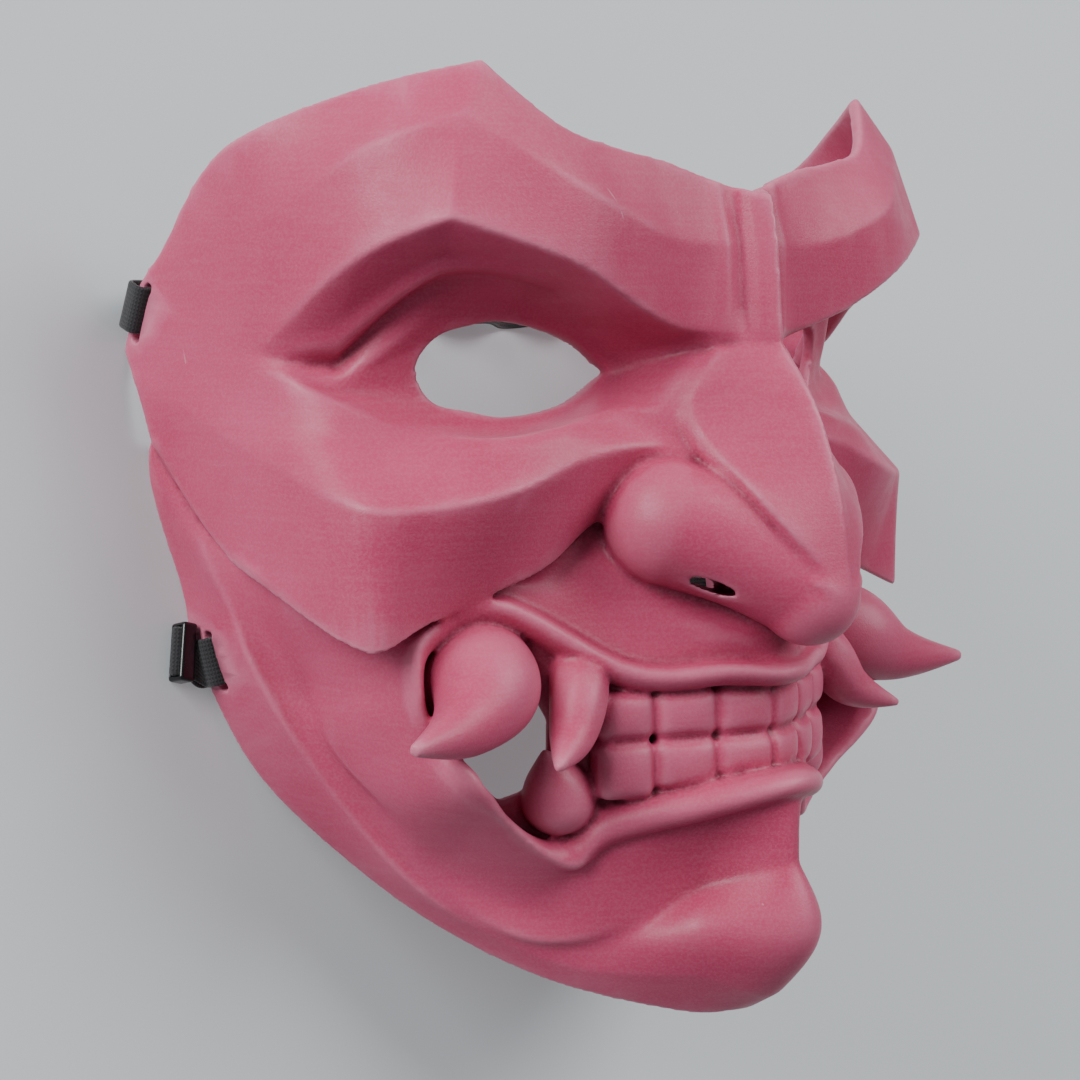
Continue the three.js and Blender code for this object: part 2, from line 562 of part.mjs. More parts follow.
// The mask is laid face up, its lowest points trimmed to small flats on the floor
function layDown(geometry) {
  const turned = geometry.clone().rotateX(THREE.MathUtils.degToRad(restTilt));
  turned.computeBoundingBox();
  const box = turned.boundingBox;
  const shift = new THREE.Vector3(0, -(box.min.y + box.max.y) / 2, -box.min.z - restTrim);
  turned.translate(shift.x, shift.y, shift.z);
  const place = new THREE.Matrix4().makeTranslation(shift.x, shift.y, shift.z)
    .multiply(new THREE.Matrix4().makeRotationX(THREE.MathUtils.degToRad(restTilt)));
  return { geometry: turned, place };
}

// A slot through the laid side wall: its place on the rim and the directions along and across it
function laidSlot(slot, place) {
  const along = vector(slot.along).transformDirection(place);
  const outwards = new THREE.Vector3(1, 0, 0).addScaledVector(along, -along.x).normalize();
  const inwards = along.clone().cross(outwards);
  if (inwards.z < 0) inwards.negate();
  return { rim: vector(slot.rim).applyMatrix4(place), along, outwards, inwards, strip: slot.strip };
}

function slotGeometry(slot) {
  const cut = new THREE.BoxGeometry(16, strapSlot.length, strapSlot.width);
  cut.applyMatrix4(new THREE.Matrix4().makeBasis(slot.outwards, slot.along,
    slot.outwards.clone().cross(slot.along)));
  const center = slot.rim.clone().addScaledVector(slot.inwards, slot.strip + strapSlot.width / 2);
  cut.translate(center.x, center.y, center.z);
  return cut;
}

// A flat ribbon along a path; each station has a center, the direction of its width and of its thickness
function ribbonRings(stations) {
  return stations.map(({ center, wide, thick }) => [[-1, -1], [1, -1], [1, 1], [-1, 1]].map(([a, b]) =>
    center.clone().addScaledVector(wide, (a * strap.width) / 2).addScaledVector(thick, (b * strap.thickness) / 2)));
}

function loopGeometry(rings) {
  const around = rings[0].length;
  const points = rings.flat();
  const index = [];
  for (let r = 0; r < rings.length; r += 1) {
    const next = (r + 1) % rings.length;
    for (let c = 0; c < around; c += 1) {
      const turn = (c + 1) % around;
      const [a, b, d, e] = [r * around + c, r * around + turn, next * around + turn, next * around + c];
      index.push(a, b, d, a, d, e);
    }
  }
  return meshGeometry(points, index);
}

const legs = {
  outside: 1 + strap.thickness / 2,
  inside: -shellWall - 1.4 - strap.thickness / 2,
  below: -strap.clearance - strap.thickness / 2,
};

// A closed loop of strap. Each corner is given outwards and inwards from the rim, in its own frame.
function loopThroughSlot(corners) {
  const stations = corners.map((corner, i) => {
    const before = corners[(i + corners.length - 1) % corners.length].at;
    const after = corners[(i + 1) % corners.length].at;
    const { frame, at } = corner;
    const unit = (a, b) => new THREE.Vector2(a, b).normalize();
    const arrive = unit(at[0] - before[0], at[1] - before[1]);
    const leave = unit(after[0] - at[0], after[1] - at[1]);
    const across = new THREE.Vector2(arrive.y + leave.y, -arrive.x - leave.x).normalize();
    across.divideScalar(Math.max(0.5, across.dot(new THREE.Vector2(arrive.y, -arrive.x))));
    const center = frame.rim.clone().addScaledVector(frame.outwards, at[0]).addScaledVector(frame.inwards, at[1]);
    const thick = frame.outwards.clone().multiplyScalar(across.x).addScaledVector(frame.inwards, across.y);
    return { center, wide: frame.along, thick };
  });
  return loopGeometry(ribbonRings(stations));
}

function rimLoop(slot) {
  const above = slot.strip + strapSlot.width / 2;
  return loopThroughSlot([[legs.outside, above], [legs.inside, above],
    [legs.inside, legs.below], [legs.outside, legs.below]].map((at) => ({ frame: slot, at })));
}

// The tab lies level beside the wall, turned a little towards the brow
function tabFrame(slot) {
  const turn = THREE.MathUtils.degToRad(sliderTab.turn);
  return {
    rim: slot.rim.clone().add(new THREE.Vector3(0, sliderTab.forwards, 0)),
    outwards: new THREE.Vector3(Math.cos(turn), Math.sin(turn), 0),
    along: new THREE.Vector3(Math.sin(turn), -Math.cos(turn), 0),
    inwards: new THREE.Vector3(0, 0, 1),
  };
}

// On the near side the lower loop is longer and lies on the floor beside the wall, through a slider
function tabLoop(slot) {
  const layer = (strap.thickness + strap.clearance) / 2;
  const above = slot.strip + strapSlot.width / 2;
  const tab = tabFrame(slot);
  const { lift, end } = sliderTab;
  const byTheWall = (...at) => ({ frame: slot, at });
  const onTheFloor = (...at) => ({ frame: tab, at });
  return loopThroughSlot([byTheWall(legs.inside, above), byTheWall(1.7, above), byTheWall(1.9, 1.9),
    onTheFloor(3.9, lift + layer), onTheFloor(end, lift + layer), onTheFloor(end + 0.8, lift), onTheFloor(end, lift - layer),
    onTheFloor(3.3, lift - layer), byTheWall(1.7, legs.below), byTheWall(legs.inside, legs.below)]);
}

// The band lies across the floor inside the mask, in low waves
function bandGeometry(slot, wave) {
  const half = strap.thickness / 2;
  const inside = -shellWall - strap.clearance - half;
  const below = -strap.clearance - half;
  const foot = slot.rim.clone().addScaledVector(slot.outwards, inside).addScaledVector(slot.inwards, below);
  const stations = [];
  const steps = 48;
  for (let i = 0; i <= steps; i += 1) {
    const share = (2 * i) / steps - 1;
    const x = foot.x * share;
    const ease = THREE.MathUtils.smoothstep(1 - Math.abs(share), 0, 0.09);
    const lift = (wave / 2) * (1 - Math.cos(2 * Math.PI * strap.waves * (1 - Math.abs(share)) / 2 * 2));
    const low = half + 0.05 + lift * THREE.MathUtils.smoothstep(1 - Math.abs(share), 0.06, 0.2);
    const z = THREE.MathUtils.lerp(foot.z, low, ease);
    const lean = Math.abs(share) * (1 - ease);
    const wide = new THREE.Vector3(Math.sign(share) * slot.along.x * lean, slot.along.y, slot.along.z * lean);
    stations.push({ center: new THREE.Vector3(x, foot.y, z), wide: wide.normalize() });
  }
  stations.forEach((station, i) => {
    const before = stations[Math.max(0, i - 1)].center;
    const after = stations[Math.min(steps, i + 1)].center;
    station.thick = station.wide.clone().cross(after.clone().sub(before)).normalize();
  });
  return loftGeometry(ribbonRings(stations));
}

function strapSolid(slot, wave, nearLoop) {
  const far = solidFrom(rimLoop(slot));
  const near = solidFrom(nearLoop(slot).applyMatrix4(new THREE.Matrix4().makeScale(-1, 1, 1)));
  return solidFrom(bandGeometry(slot, wave)).add(far).add(near);
}

// The slider is a short sleeve round both layers of the loop on the floor
function sliderSolid(slot) {
  const { rim, outwards, along, inwards } = tabFrame(slot);
  const middle = rim.clone().addScaledVector(outwards, sliderTab.place).addScaledVector(inwards, sliderTab.lift);
  const sleeve = (width, height, length, corner) => {
    const w = width / 2;
    const h = height / 2;
    const outline = [[w, -h + corner], [w, h - corner], [w - corner, h], [-w + corner, h], [-w, h - corner],
      [-w, -h + corner], [-w + corner, -h], [w - corner, -h]];
    return loftGeometry([-length / 2, length / 2].map((l) => outline.map(([a, b]) => middle.clone()
      .addScaledVector(along, a).addScaledVector(inwards, b).addScaledVector(outwards, l))));
  };
  const flip = new THREE.Matrix4().makeScale(-1, 1, 1);
  const room = 2 * strap.thickness + 3 * strap.clearance;
  const body = solidFrom(sleeve(slider.width, slider.height, slider.length, slider.corner).applyMatrix4(flip));
  const window = sleeve(strap.width + 2 * strap.clearance, room, slider.length + 2, 0.2).applyMatrix4(flip);
  return body.subtract(solidFrom(window));
}

function namedMesh(name, solid, material) {
  const mesh = new THREE.Mesh(geometryFrom(solid), material);
  mesh.name = name;
  return mesh;
}

const laid = layDown(geometryFrom(maskSolid()));
const upperSlot = laidSlot(slots.upper, laid.place);
const lowerSlot = laidSlot(slots.lower, laid.place);
lowerSlot.rim.z = lowerRimLift;
const notchReach = strap.width / 2 + 0.6;

let maskBody = solidFrom(laid.geometry).subtract(boxSolid([-120, -140, -10], [120, 140, 0]));
for (const [low, high] of [[-100, -80], [80, 100]]) {
  maskBody = maskBody.subtract(boxSolid([low, lowerSlot.rim.y - notchReach, -1],
    [high, lowerSlot.rim.y + notchReach, lowerRimLift]));
}
for (const slot of [upperSlot, lowerSlot]) {
  for (const cut of bothSides(() => slotGeometry(slot))) maskBody = maskBody.subtract(cut);
}

const part = new THREE.Group();
part.add(namedMesh('mask_shell', maskBody, maskPink));
const pulledUp = { ...upperSlot, rim: upperSlot.rim.clone().addScaledVector(upperSlot.along, -upperStrapShift) };
part.add(namedMesh('upper_strap', strapSolid(pulledUp, strapWaves.upper, rimLoop), elasticBlack));
part.add(namedMesh('lower_strap', strapSolid(lowerSlot, strapWaves.lower, tabLoop), elasticBlack));
part.add(namedMesh('slider', sliderSolid(lowerSlot), sliderBlack));

export default part;
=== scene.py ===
# %% [markdown]
# # A samurai mask in raspberry pink plastic
# The real mask is one moulded shell, about 3 mm thick and open at the back. Brow horns, cheek
# guards, a hooked nose, bared teeth and tusks are all cast in one with it. Two black elastic
# straps go through slots in its side rims, and one of them carries a small black slider.
# The shell alone is a hard thing to draw as one net of faces. So each form is made as its own
# simple sheet or solid, and they are then welded with voxels, the way clay pieces are pressed
# together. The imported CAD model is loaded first, because it fixes every size and place.

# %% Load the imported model
from functools import lru_cache
from math import cos, hypot, atan2, pi, radians, sin, sqrt

import bmesh
import bpy
from mathutils import Matrix, Vector


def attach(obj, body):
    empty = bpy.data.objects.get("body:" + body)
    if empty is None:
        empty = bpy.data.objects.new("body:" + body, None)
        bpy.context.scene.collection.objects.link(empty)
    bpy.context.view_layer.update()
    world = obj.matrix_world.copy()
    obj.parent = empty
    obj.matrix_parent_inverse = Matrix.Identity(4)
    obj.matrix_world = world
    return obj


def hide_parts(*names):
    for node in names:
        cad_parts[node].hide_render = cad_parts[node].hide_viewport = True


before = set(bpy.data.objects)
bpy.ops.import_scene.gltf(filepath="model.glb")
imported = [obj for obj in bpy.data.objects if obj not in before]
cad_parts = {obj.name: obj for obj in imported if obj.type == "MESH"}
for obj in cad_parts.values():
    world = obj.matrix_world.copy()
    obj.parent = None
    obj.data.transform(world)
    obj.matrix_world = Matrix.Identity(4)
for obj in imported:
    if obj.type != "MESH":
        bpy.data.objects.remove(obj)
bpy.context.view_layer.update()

# %% [markdown]
# The picture was taken from the wearer's right, level with the brow. The mask lies on its back
# here, so the same view looks down at it. The lens follows from the picture: 82 mm on a 36 mm
# frame, which is what keeps the far side so large.

# %% Camera
camera_data = bpy.data.cameras.new("camera")
camera_data.lens = 81.7
camera_data.sensor_width = 36
camera = bpy.data.objects.new("camera", camera_data)
camera.location = (-0.4467, -0.0262, 0.4615)
camera.rotation_euler = (radians(12.44), radians(-44.80), radians(-12.72))
bpy.context.scene.collection.objects.link(camera)
bpy.context.scene.camera = camera

# %% [markdown]
# The face is drawn in millimetres in its own frame: X across the face, Y up, Z out of it, from
# the bridge of the nose. At the end it is tipped back by 12.5 degrees and set on the floor,
# which is how the mask lies on its side rims. to_floor does the same but stays in millimetres.

# %% From face millimetres to the room
to_room = (Matrix.Translation((0, 0.04224, 0.11777))
           @ Matrix.Rotation(radians(12.5), 4, "X") @ Matrix.Scale(0.001, 4))
to_floor = Matrix.Scale(1000, 4) @ to_room


def new_object(name, shape):
    """Turns a bmesh into an object of the scene."""
    mesh = bpy.data.meshes.new(name)
    shape.to_mesh(mesh)
    shape.free()
    made = bpy.data.objects.new(name, mesh)
    bpy.context.scene.collection.objects.link(made)
    return made


def mirrored(point):
    return Vector((-point.x, point.y, point.z))


def pour(shape, into):
    """Adds one bmesh to another. The first is used up."""
    spare = bpy.data.meshes.new("spare")
    shape.to_mesh(spare)
    shape.free()
    into.from_mesh(spare)
    bpy.data.meshes.remove(spare)


def finish_modifiers(made):
    """Replaces the object's mesh by the one that its modifiers make."""
    graph = bpy.context.evaluated_depsgraph_get()
    mesh = bpy.data.meshes.new_from_object(made.evaluated_get(graph))
    made.modifiers.clear()
    made.data = mesh
    return made


# %% [markdown]
# Every form of the face is set by a few lines of points that a carver would draw on a blank:
# the rim, the crest of the brow, the edge of the cheek guard. Between the points the line
# has to bend softly, and at a few of them it has to break. This is a Hermite curve, and at a
# corner it stops looking past that point.

# %% A soft line through points
def on_line(points, station, corners=()):
    """Reads a line at a station counted in points. It bends softly and breaks at its corners."""
    span = min(int(station), len(points) - 2)
    t = station - span
    start, end = points[span], points[span + 1]
    chord = end - start
    leave = arrive = None
    if span > 0 and span not in corners:
        leave = (end - points[span - 1]) / 2
    if span + 2 < len(points) and span + 1 not in corners:
        arrive = (points[span + 2] - start) / 2
    if leave is None and arrive is None:
        leave = arrive = chord
    elif leave is None:
        leave = (3 * chord - arrive) / 2
    elif arrive is None:
        arrive = (3 * chord - leave) / 2
    return (start * (2 * t**3 - 3 * t**2 + 1) + leave * (t**3 - 2 * t**2 + t)
            + end * (3 * t**2 - 2 * t**3) + arrive * (t**3 - t**2))


def sheet(across, down, place, cloth_map=None):
    """A flat grid of faces whose corners are then moved, one by one, to place(across, down)."""
    shape = bmesh.new()
    bmesh.ops.create_grid(shape, x_segments=across, y_segments=down, size=1)
    if cloth_map:
        layer = shape.loops.layers.uv.new("cloth")
        for loop in [loop for face in shape.faces for loop in face.loops]:
            loop[layer].uv = cloth_map((loop.vert.co.x + 1) / 2, (loop.vert.co.y + 1) / 2)
    for corner in shape.verts:
        corner.co = place((corner.co.x + 1) / 2, (corner.co.y + 1) / 2)
    return shape


# %% [markdown]
# ## Brow, eye sockets and cheek guards
# These lines run from the midline out to the side rim, from the top of the brow down to the
# tuck under the cheek guard. Only one half is drawn, as a carver works from a centre line.
# The numbers in front of a line are its corners. upper_breaks are the lines over which the face
# bends sharply: the crest and the edge of the brow, the wall under it, the lower edge of the
# socket, the cheek shelf and both edges of the cheek guard.

# %% Lines of the upper face
upper_lines = [
    ([5], [(0, 34.5, -4), (9.5, 37.6, -12.2), (24, 41.7, -15.2), (39, 44.3, -17), (54, 48.7, -20),
           (67.5, 62.5, -30.5), (84.6, 56.5, -51), (98.5, 47.5, -71.5), (98, 39, -90), (95.5, 20, -109)]),
    ([5], [(0, 22.5, -2), (10.5, 23, -9), (25.5, 23.6, -9.8), (40, 27.7, -9), (57, 35, -11.3),
           (77, 49.7, -26.2), (92.5, 42.5, -40.5), (98.5, 29, -64.5), (98.5, 23, -88), (97, 18, -111)]),
    ([5, 7], [(0, 1.5, -0.5), (12.5, 3, -9.5), (25, 4.2, -11.5), (41, 9.4, -9.8), (60, 18.2, -10.5),
              (85, 27.2, -22.1), (96, 18, -42), (97, 0, -70), (98, 5.5, -90.5), (97.5, 16, -112.5)]),
    ([6], [(0, 0, -2), (12.5, -1, -12), (22, 0, -22.5), (36, 6, -25.5), (53, 13.5, -30),
           (73, 14, -39.5), (85, -5, -60), (96, -2, -69.5), (98, 3.5, -92.5), (98, 12, -115)]),
    ([], [(0, -3, -2), (17.5, -5, -12.5), (22.5, -4.5, -33), (37, 2, -36), (54, 5.5, -38.5),
          (68, 2, -44), (86.5, -7, -56), (96, -2.5, -69.5), (98, 1, -93.5), (98, 7, -116.5)]),
    ([], [(0, -6, -2), (21, -9.5, -13.5), (24, -8.8, -33.5), (38, -14, -35), (55, -16, -37.5),
          (68, -12.5, -45.5), (87.5, -9.5, -56.5), (96.3, -3.5, -69), (98, -1, -95), (98, 2.5, -118.5)]),
    ([], [(0, -9, -2), (22, -14, -13.5), (32, -14.5, -23), (48, -17.5, -24), (64, -20, -29),
          (76, -18.5, -42.5), (91, -11.5, -54), (97, -5.5, -69), (98, -4, -96.5), (98, -1.5, -120)]),
    ([], [(0, -13, -1), (20.5, -20, -11), (34, -17, -22), (52, -20, -22), (66, -22.5, -27),
          (81.5, -22.5, -40.5), (94, -19, -53), (98.2, -14.5, -72), (98.3, -9, -98.5), (98, -4.5, -118.5)]),
    ([], [(0, -20, 0), (20, -25, -8.5), (29.5, -22.5, -15), (46, -24.5, -18), (66.3, -31, -20.5),
          (85, -34.5, -29), (98, -33.5, -40.5), (99.8, -22.5, -72.5), (98.8, -13, -100),
          (98.5, -7, -116.5)]),
    ([], [(0, -50, -8), (23, -36, -20), (36.5, -40.5, -25.5), (52.5, -50, -26), (67, -56.5, -32.5),
           (81.5, -61.5, -35), (96, -66, -37.5), (98, -56, -65), (97.5, -46, -86), (97.5, -24, -110)]),
    ([], [(0, -46, -14), (22, -38, -25), (35, -40.5, -35), (50, -46.5, -40), (63, -50.5, -48),
          (76, -52, -57), (85, -50, -69), (90.5, -46, -80), (93, -39, -94), (94, -22, -109)]),
]
upper_lines = [(corners, [Vector(p) for p in points]) for corners, points in upper_lines]
upper_breaks = [1, 2, 3, 6, 7, 8, 9]

# %% [markdown]
# A sheet through these lines has the planes of the brow and the cheek. The small relief is added
# while the sheet is placed, because the lines are too far apart for it. A flat band runs down the
# middle of the brow. Beside it a groove drops steeply, climbs to a thin crest and runs out into
# the brow. Over the outer half of the eye a ledge, a fold and the round of the lid follow.

# %% The upper face with its relief
brow_profile = [(0, 0), (4, 0), (4.9, -2.9), (10.3, 0.9), (12.6, 0), (200, 0)]
lid_ledge = Vector((0.3, -0.5, 1)) * 1.9
lid_fold_depth = 1.2
lid_round = 1.5


def hump(value, middle, half_width):
    """1 in the middle of a low ridge, falling softly to 0 at half_width on either side."""
    share = abs(value - middle) / half_width
    return (1 - share * share) ** 2 if share < 1 else 0.0


def brow_relief(across_mm):
    """The height of the brow profile at a distance from the midline."""
    for (x0, z0), (x1, z1) in zip(brow_profile, brow_profile[1:]):
        if x0 <= across_mm <= x1:
            return z0 + (z1 - z0) * (across_mm - x0) / (x1 - x0)
    return 0


@lru_cache(maxsize=None)
def down_the_face(column):
    return [on_line(points, column, corners) for corners, points in upper_lines]


def upper_place(across, down):
    """A point of the upper face. Columns count points along the lines, rows count the lines."""
    column, row = 9 * across, 10 * down
    point = on_line(down_the_face(round(column, 5)), row, upper_breaks)
    if row < 2.2:
        fade = min(1, (2.2 - row) / 0.5) * (0.55 + 0.45 * min(1, row / 0.7))
        point.z += brow_relief(point.x) * fade
    outer_half = hump(column, 5.2, 1.9)
    point += lid_ledge * hump(row, 2.76, 0.2) * outer_half
    point.z -= lid_fold_depth * hump(row, 3.02, 0.16) * outer_half
    point.z += lid_round * hump(row, 3.55, 0.5) * hump(column, 5.6, 0.9)
    return point


upper_half = sheet(126, 130, upper_place)
print("upper half:", len(upper_half.faces), "faces")

# %% [markdown]
# The other half is the mirror image, welded along the midline. Then the sheet gets its wall.
# The Solidify modifier lays a second skin 3.2 mm behind the first and closes the rim, as a
# moulded shell has.

# %% Mirror a half, then give it a wall
def whole_shell(name, half, wall=3.2):
    """Mirrors a half sheet over the midline and makes it a shell with its wall behind it."""
    bmesh.ops.remove_doubles(half, verts=half.verts, dist=0.01)
    bmesh.ops.mirror(half, geom=half.verts[:] + half.edges[:] + half.faces[:],
                     matrix=Matrix.Identity(4), merge_dist=0.02, axis="X")
    bmesh.ops.recalc_face_normals(half, faces=half.faces)
    if sum(face.normal.z * face.calc_area() for face in half.faces) < 0:
        bmesh.ops.reverse_faces(half, faces=half.faces)
    made = new_object(name, half)
    solidify = made.modifiers.new("wall", "SOLIDIFY")
    solidify.thickness = wall
    solidify.offset = -1
    return finish_modifiers(made)


upper_shell = whole_shell("upper_face", upper_half)

# %% [markdown]
# ## Jaw and lips
# The jaw is drawn as rings round the mouth, like the rings of a target pulled wide. The
# innermost is the line of the bite, closed like a purse, and the outermost is the rim of the
# chin. Between the two lip lines the surface swells into a roll. Each ring starts above the
# upper lip at the midline and ends below the lower one. It is given one mirrored point past each
# end, so that the line runs level across the midline.

# %% Rings of the mouth and jaw
jaw_rings = [
    [(0, -90, -12), (15, -90, -16), (31, -89.5, -24.5), (47, -89, -34.5), (61, -88, -44),
     (70, -87, -47), (74.5, -86, -49), (70, -87, -47), (61, -88, -44),
     (47, -89, -34.5), (31, -89.5, -24.5), (15, -90, -16), (0, -90, -12)],
    [(0, -79, 0.3), (14, -78, -4), (35, -77.5, -17), (59.5, -63, -33.5), (75, -67, -38.5),
     (78.5, -76.5, -38), (75.5, -86.5, -37), (71, -94.5, -31.5), (58.5, -106.5, -32),
     (43.5, -113.5, -30.5), (34, -106, -24.5), (19.5, -101, -8.5), (0, -98.7, 1.3)],
    [(0, -73, 0.3), (15, -72.5, -6.5), (33.5, -71.5, -18), (59.5, -56, -33.5), (79, -64.5, -41.5),
     (83, -75, -41), (81, -86.5, -38.5), (77, -97.5, -30), (63.5, -107.5, -31),
     (42.5, -120.5, -29), (33.5, -114.5, -22), (18.5, -109.5, -9), (0, -105.3, 3.8)],
    [(0, -68, -1), (16, -65.5, -6), (37, -58.5, -22.5), (60.5, -52.5, -35), (84, -61, -49.5),
     (83, -81, -62.5), (80, -93, -63), (74, -105, -52.5), (60, -118.5, -49),
     (44, -129.5, -37.5), (32.5, -127.5, -23.5), (15.5, -118.5, -11.5), (0, -113, 4.4)],
    [(0, -62, -1), (15, -59.5, -10), (37, -50.5, -24), (60.5, -52, -41), (90, -55.5, -63),
     (83, -76.3, -73), (80.8, -88.6, -70.5), (74.1, -103.1, -61), (60.4, -124.5, -53.7),
     (45, -137.5, -38), (30, -135, -23), (14, -126.5, -12.5), (0, -120.5, 4.6)],
    [(0, -59, -3), (15, -56, -11), (36.5, -47, -26), (61, -49.5, -44), (91, -48, -78.2),
     (87, -70.2, -80.5), (83.9, -83.6, -77), (76.4, -100.5, -68), (62.6, -123, -57),
     (48, -137, -43), (32.5, -140, -27.5), (20.5, -135, -8), (0, -137, 10)],
    [(0, -55.5, -5), (15, -52.5, -12.5), (36, -43, -28.5), (61, -47, -47), (94, -41, -91),
     (92.5, -63, -86), (89, -77.5, -81), (80.5, -97, -73), (66, -122, -59.5),
     (51.5, -136, -48), (35, -145.5, -32), (17.5, -146.5, -9.5), (0, -153, -1.5)],
    [(0, -48, -7.5), (15, -45, -16), (35.5, -34, -33), (60, -32, -50), (94, -19, -110.5),
     (91, -60, -107.5), (89, -78.5, -102), (79.5, -102, -94.5), (66, -122, -79),
     (52.5, -138, -60.5), (35.5, -150.5, -39), (11.5, -158.5, -17.5), (0, -158, -10)],
]
jaw_rings = [[Vector(p) for p in ring] for ring in jaw_rings]
for ring in jaw_rings:
    ring.insert(0, mirrored(ring[1]))
    ring.append(mirrored(ring[-2]))
jaw_breaks = [2, 6]        # the outer edge of the lips and the edge of the side plane
lip_rise = 1.05            # height of the roll as a share of half its width
chin_rings, chin_corner, chin_crispness = (4, 5, 6, 7), 12, 0.6


def soft_step(value, low, high):
    """Rises from 0 to 1 between two values, with no corner at either end."""
    share = min(1, max(0, (value - low) / (high - low)))
    return share * share * (3 - 2 * share)


@lru_cache(maxsize=None)
def out_from_the_bite(ray):
    out = [on_line(ring, ray + 1) for ring in jaw_rings]
    for k in chin_rings:
        out[k] = out[k].lerp(on_line(jaw_rings[k], ray + 1, [chin_corner]), chin_crispness)
    return out


def jaw_place(across, down):
    """A point of the jaw. The lips swell in a half circle between their two lines."""
    ray, row = round(12 * across, 5), 7 * down
    out = out_from_the_bite(ray)
    point = on_line(out, row, jaw_breaks)
    fold = soft_step(ray, 9.8, 11)
    if fold > 0:
        point = point.lerp(on_line(out, row, jaw_breaks + [4]), fold)
    if row < 1:
        point = out[0].lerp(out[1], min(1, row / 0.7))
        point.z = out[0].z + (out[1].z - out[0].z) * soft_step(row, 0.7, 1)
    if 1 < row < 2:
        width = out[2] - out[1]
        along = on_line(jaw_rings[1], ray + 1.02) - on_line(jaw_rings[1], ray + 0.98)
        outwards = along.cross(width).normalized()
        point += outwards * sqrt(1 - (2 * row - 3) ** 2) * lip_rise * 0.5 * width.length
    return point


jaw_shell = whole_shell("jaw", sheet(168, 112, jaw_place))
print("jaw:", len(jaw_shell.data.polygons), "faces")

# %% [markdown]
# ## The nose
# The bridge is a raised plate with a bevelled edge. It narrows as it runs down to a hooked
# tip. Each section below gives its ridge, the edge of the plate, the side under that edge and
# a root that is buried in the face. A sheet is rolled round these sections and closed.

# %% Nose plate
nose_sections = [
    [(0, 0.8, -1.2), (12.5, -1, -9), (13.5, -1.6, -12.5), (9, -1, -24)],
    [(0, -6, 4.4), (18, -7.5, -10), (19.2, -8.2, -13.5), (12, -7, -25)],
    [(0, -13, 9), (21, -13.8, -10.5), (22.4, -14.6, -13.5), (15, -13, -26)],
    [(0, -20, 12.2), (20.8, -20.5, -6.3), (22, -21.6, -9.3), (16, -20, -26)],
    [(0, -27, 14.6), (19.6, -27.2, 0.4), (20.2, -29, -2), (16, -27, -25)],
    [(0, -34, 16.6), (18, -34, 7.3), (16, -37, 3), (14, -34, -22)],
    [(0, -41.5, 17.8), (13.8, -41.5, 13), (12, -44.5, 6), (12, -41, -18)],
    [(0, -49.5, 18.8), (8.2, -49, 16.5), (8, -52, 9), (8, -48, -14)],
    [(0, -57.5, 19.6), (4.4, -56.5, 18), (5, -59, 9), (5, -55, -10)],
    [(0, -62.5, 17.2), (2.4, -62.2, 16), (3, -62, 8), (3, -60, -6)],
]
nose_sections = [[Vector(p) for p in section] for section in nose_sections]


def close_tube(shape):
    """Welds the seam of a rolled sheet and fills its ends."""
    bmesh.ops.remove_doubles(shape, verts=shape.verts, dist=0.001)
    bmesh.ops.holes_fill(shape, edges=[edge for edge in shape.edges if edge.is_boundary])
    bmesh.ops.recalc_face_normals(shape, faces=shape.faces)
    return shape


def nose_block(first, last, inset=0.0):
    """The nose between two of its sections, made smaller by an inset for its hollow."""
    def place(across, down):
        station = first + (last - first) * down
        ridge, edge, side, root = [on_line([s[k] for s in nose_sections], station) for k in range(4)]
        half = [Vector((max(0.4, edge.x - inset), edge.y, edge.z - inset * 0.7)),
                Vector((max(0.4, side.x - inset), side.y, side.z - inset * 0.7)),
                Vector((max(0.4, root.x - inset), root.y, root.z - inset * 3))]
        ring = [mirrored(p) for p in reversed(half)]
        ring += [Vector((0, ridge.y, ridge.z - inset * 1.3))] + half
        turn = 7 * across
        k = min(int(turn), 6)
        return ring[k].lerp(ring[(k + 1) % 7], turn - k)
    return close_tube(sheet(84, 8 * (last - first), place))


nose = new_object("nose", nose_block(0, 9))

# %% [markdown]
# The nostril wings are one thick curl each, from the cheek round to under the tip. A curl, a
# tusk and a fang are the same thing to a modeller: a sheet rolled along a bent path, with a
# radius that changes on the way. So one helper serves for all of them.

# %% Curls and horns
def both_sides(shape):
    """Adds the mirror image of a closed solid, without welding the two."""
    twin = bmesh.ops.duplicate(shape, geom=shape.verts[:] + shape.edges[:] + shape.faces[:])["geom"]
    bmesh.ops.scale(shape, vec=(-1, 1, 1), verts=[v for v in twin if isinstance(v, bmesh.types.BMVert)])
    bmesh.ops.reverse_faces(shape, faces=[f for f in twin if isinstance(f, bmesh.types.BMFace)])
    return shape


def horn(path, radii, sides=36, rings=48, flutes=0.0):
    """A tapering round solid along a bent path. Flutes press shallow hollows along it."""
    path = [Vector(p) for p in path]
    spans = len(path) - 1

    def place(across, down):
        station = spans * down
        ahead, behind = min(spans, station + 0.01), max(0, station - 0.01)
        tangent = (on_line(path, ahead) - on_line(path, behind)).normalized()
        sideways = Vector((0, 1, 0)).cross(tangent).normalized()
        upwards = tangent.cross(sideways)
        angle = 2 * pi * across
        radius = on_line(radii, station) * (1 - flutes * (0.5 - 0.5 * cos(8 * angle)) * (1 - down))
        return on_line(path, station) + radius * (sideways * cos(angle) + upwards * sin(angle))
    return close_tube(sheet(sides, rings, place))


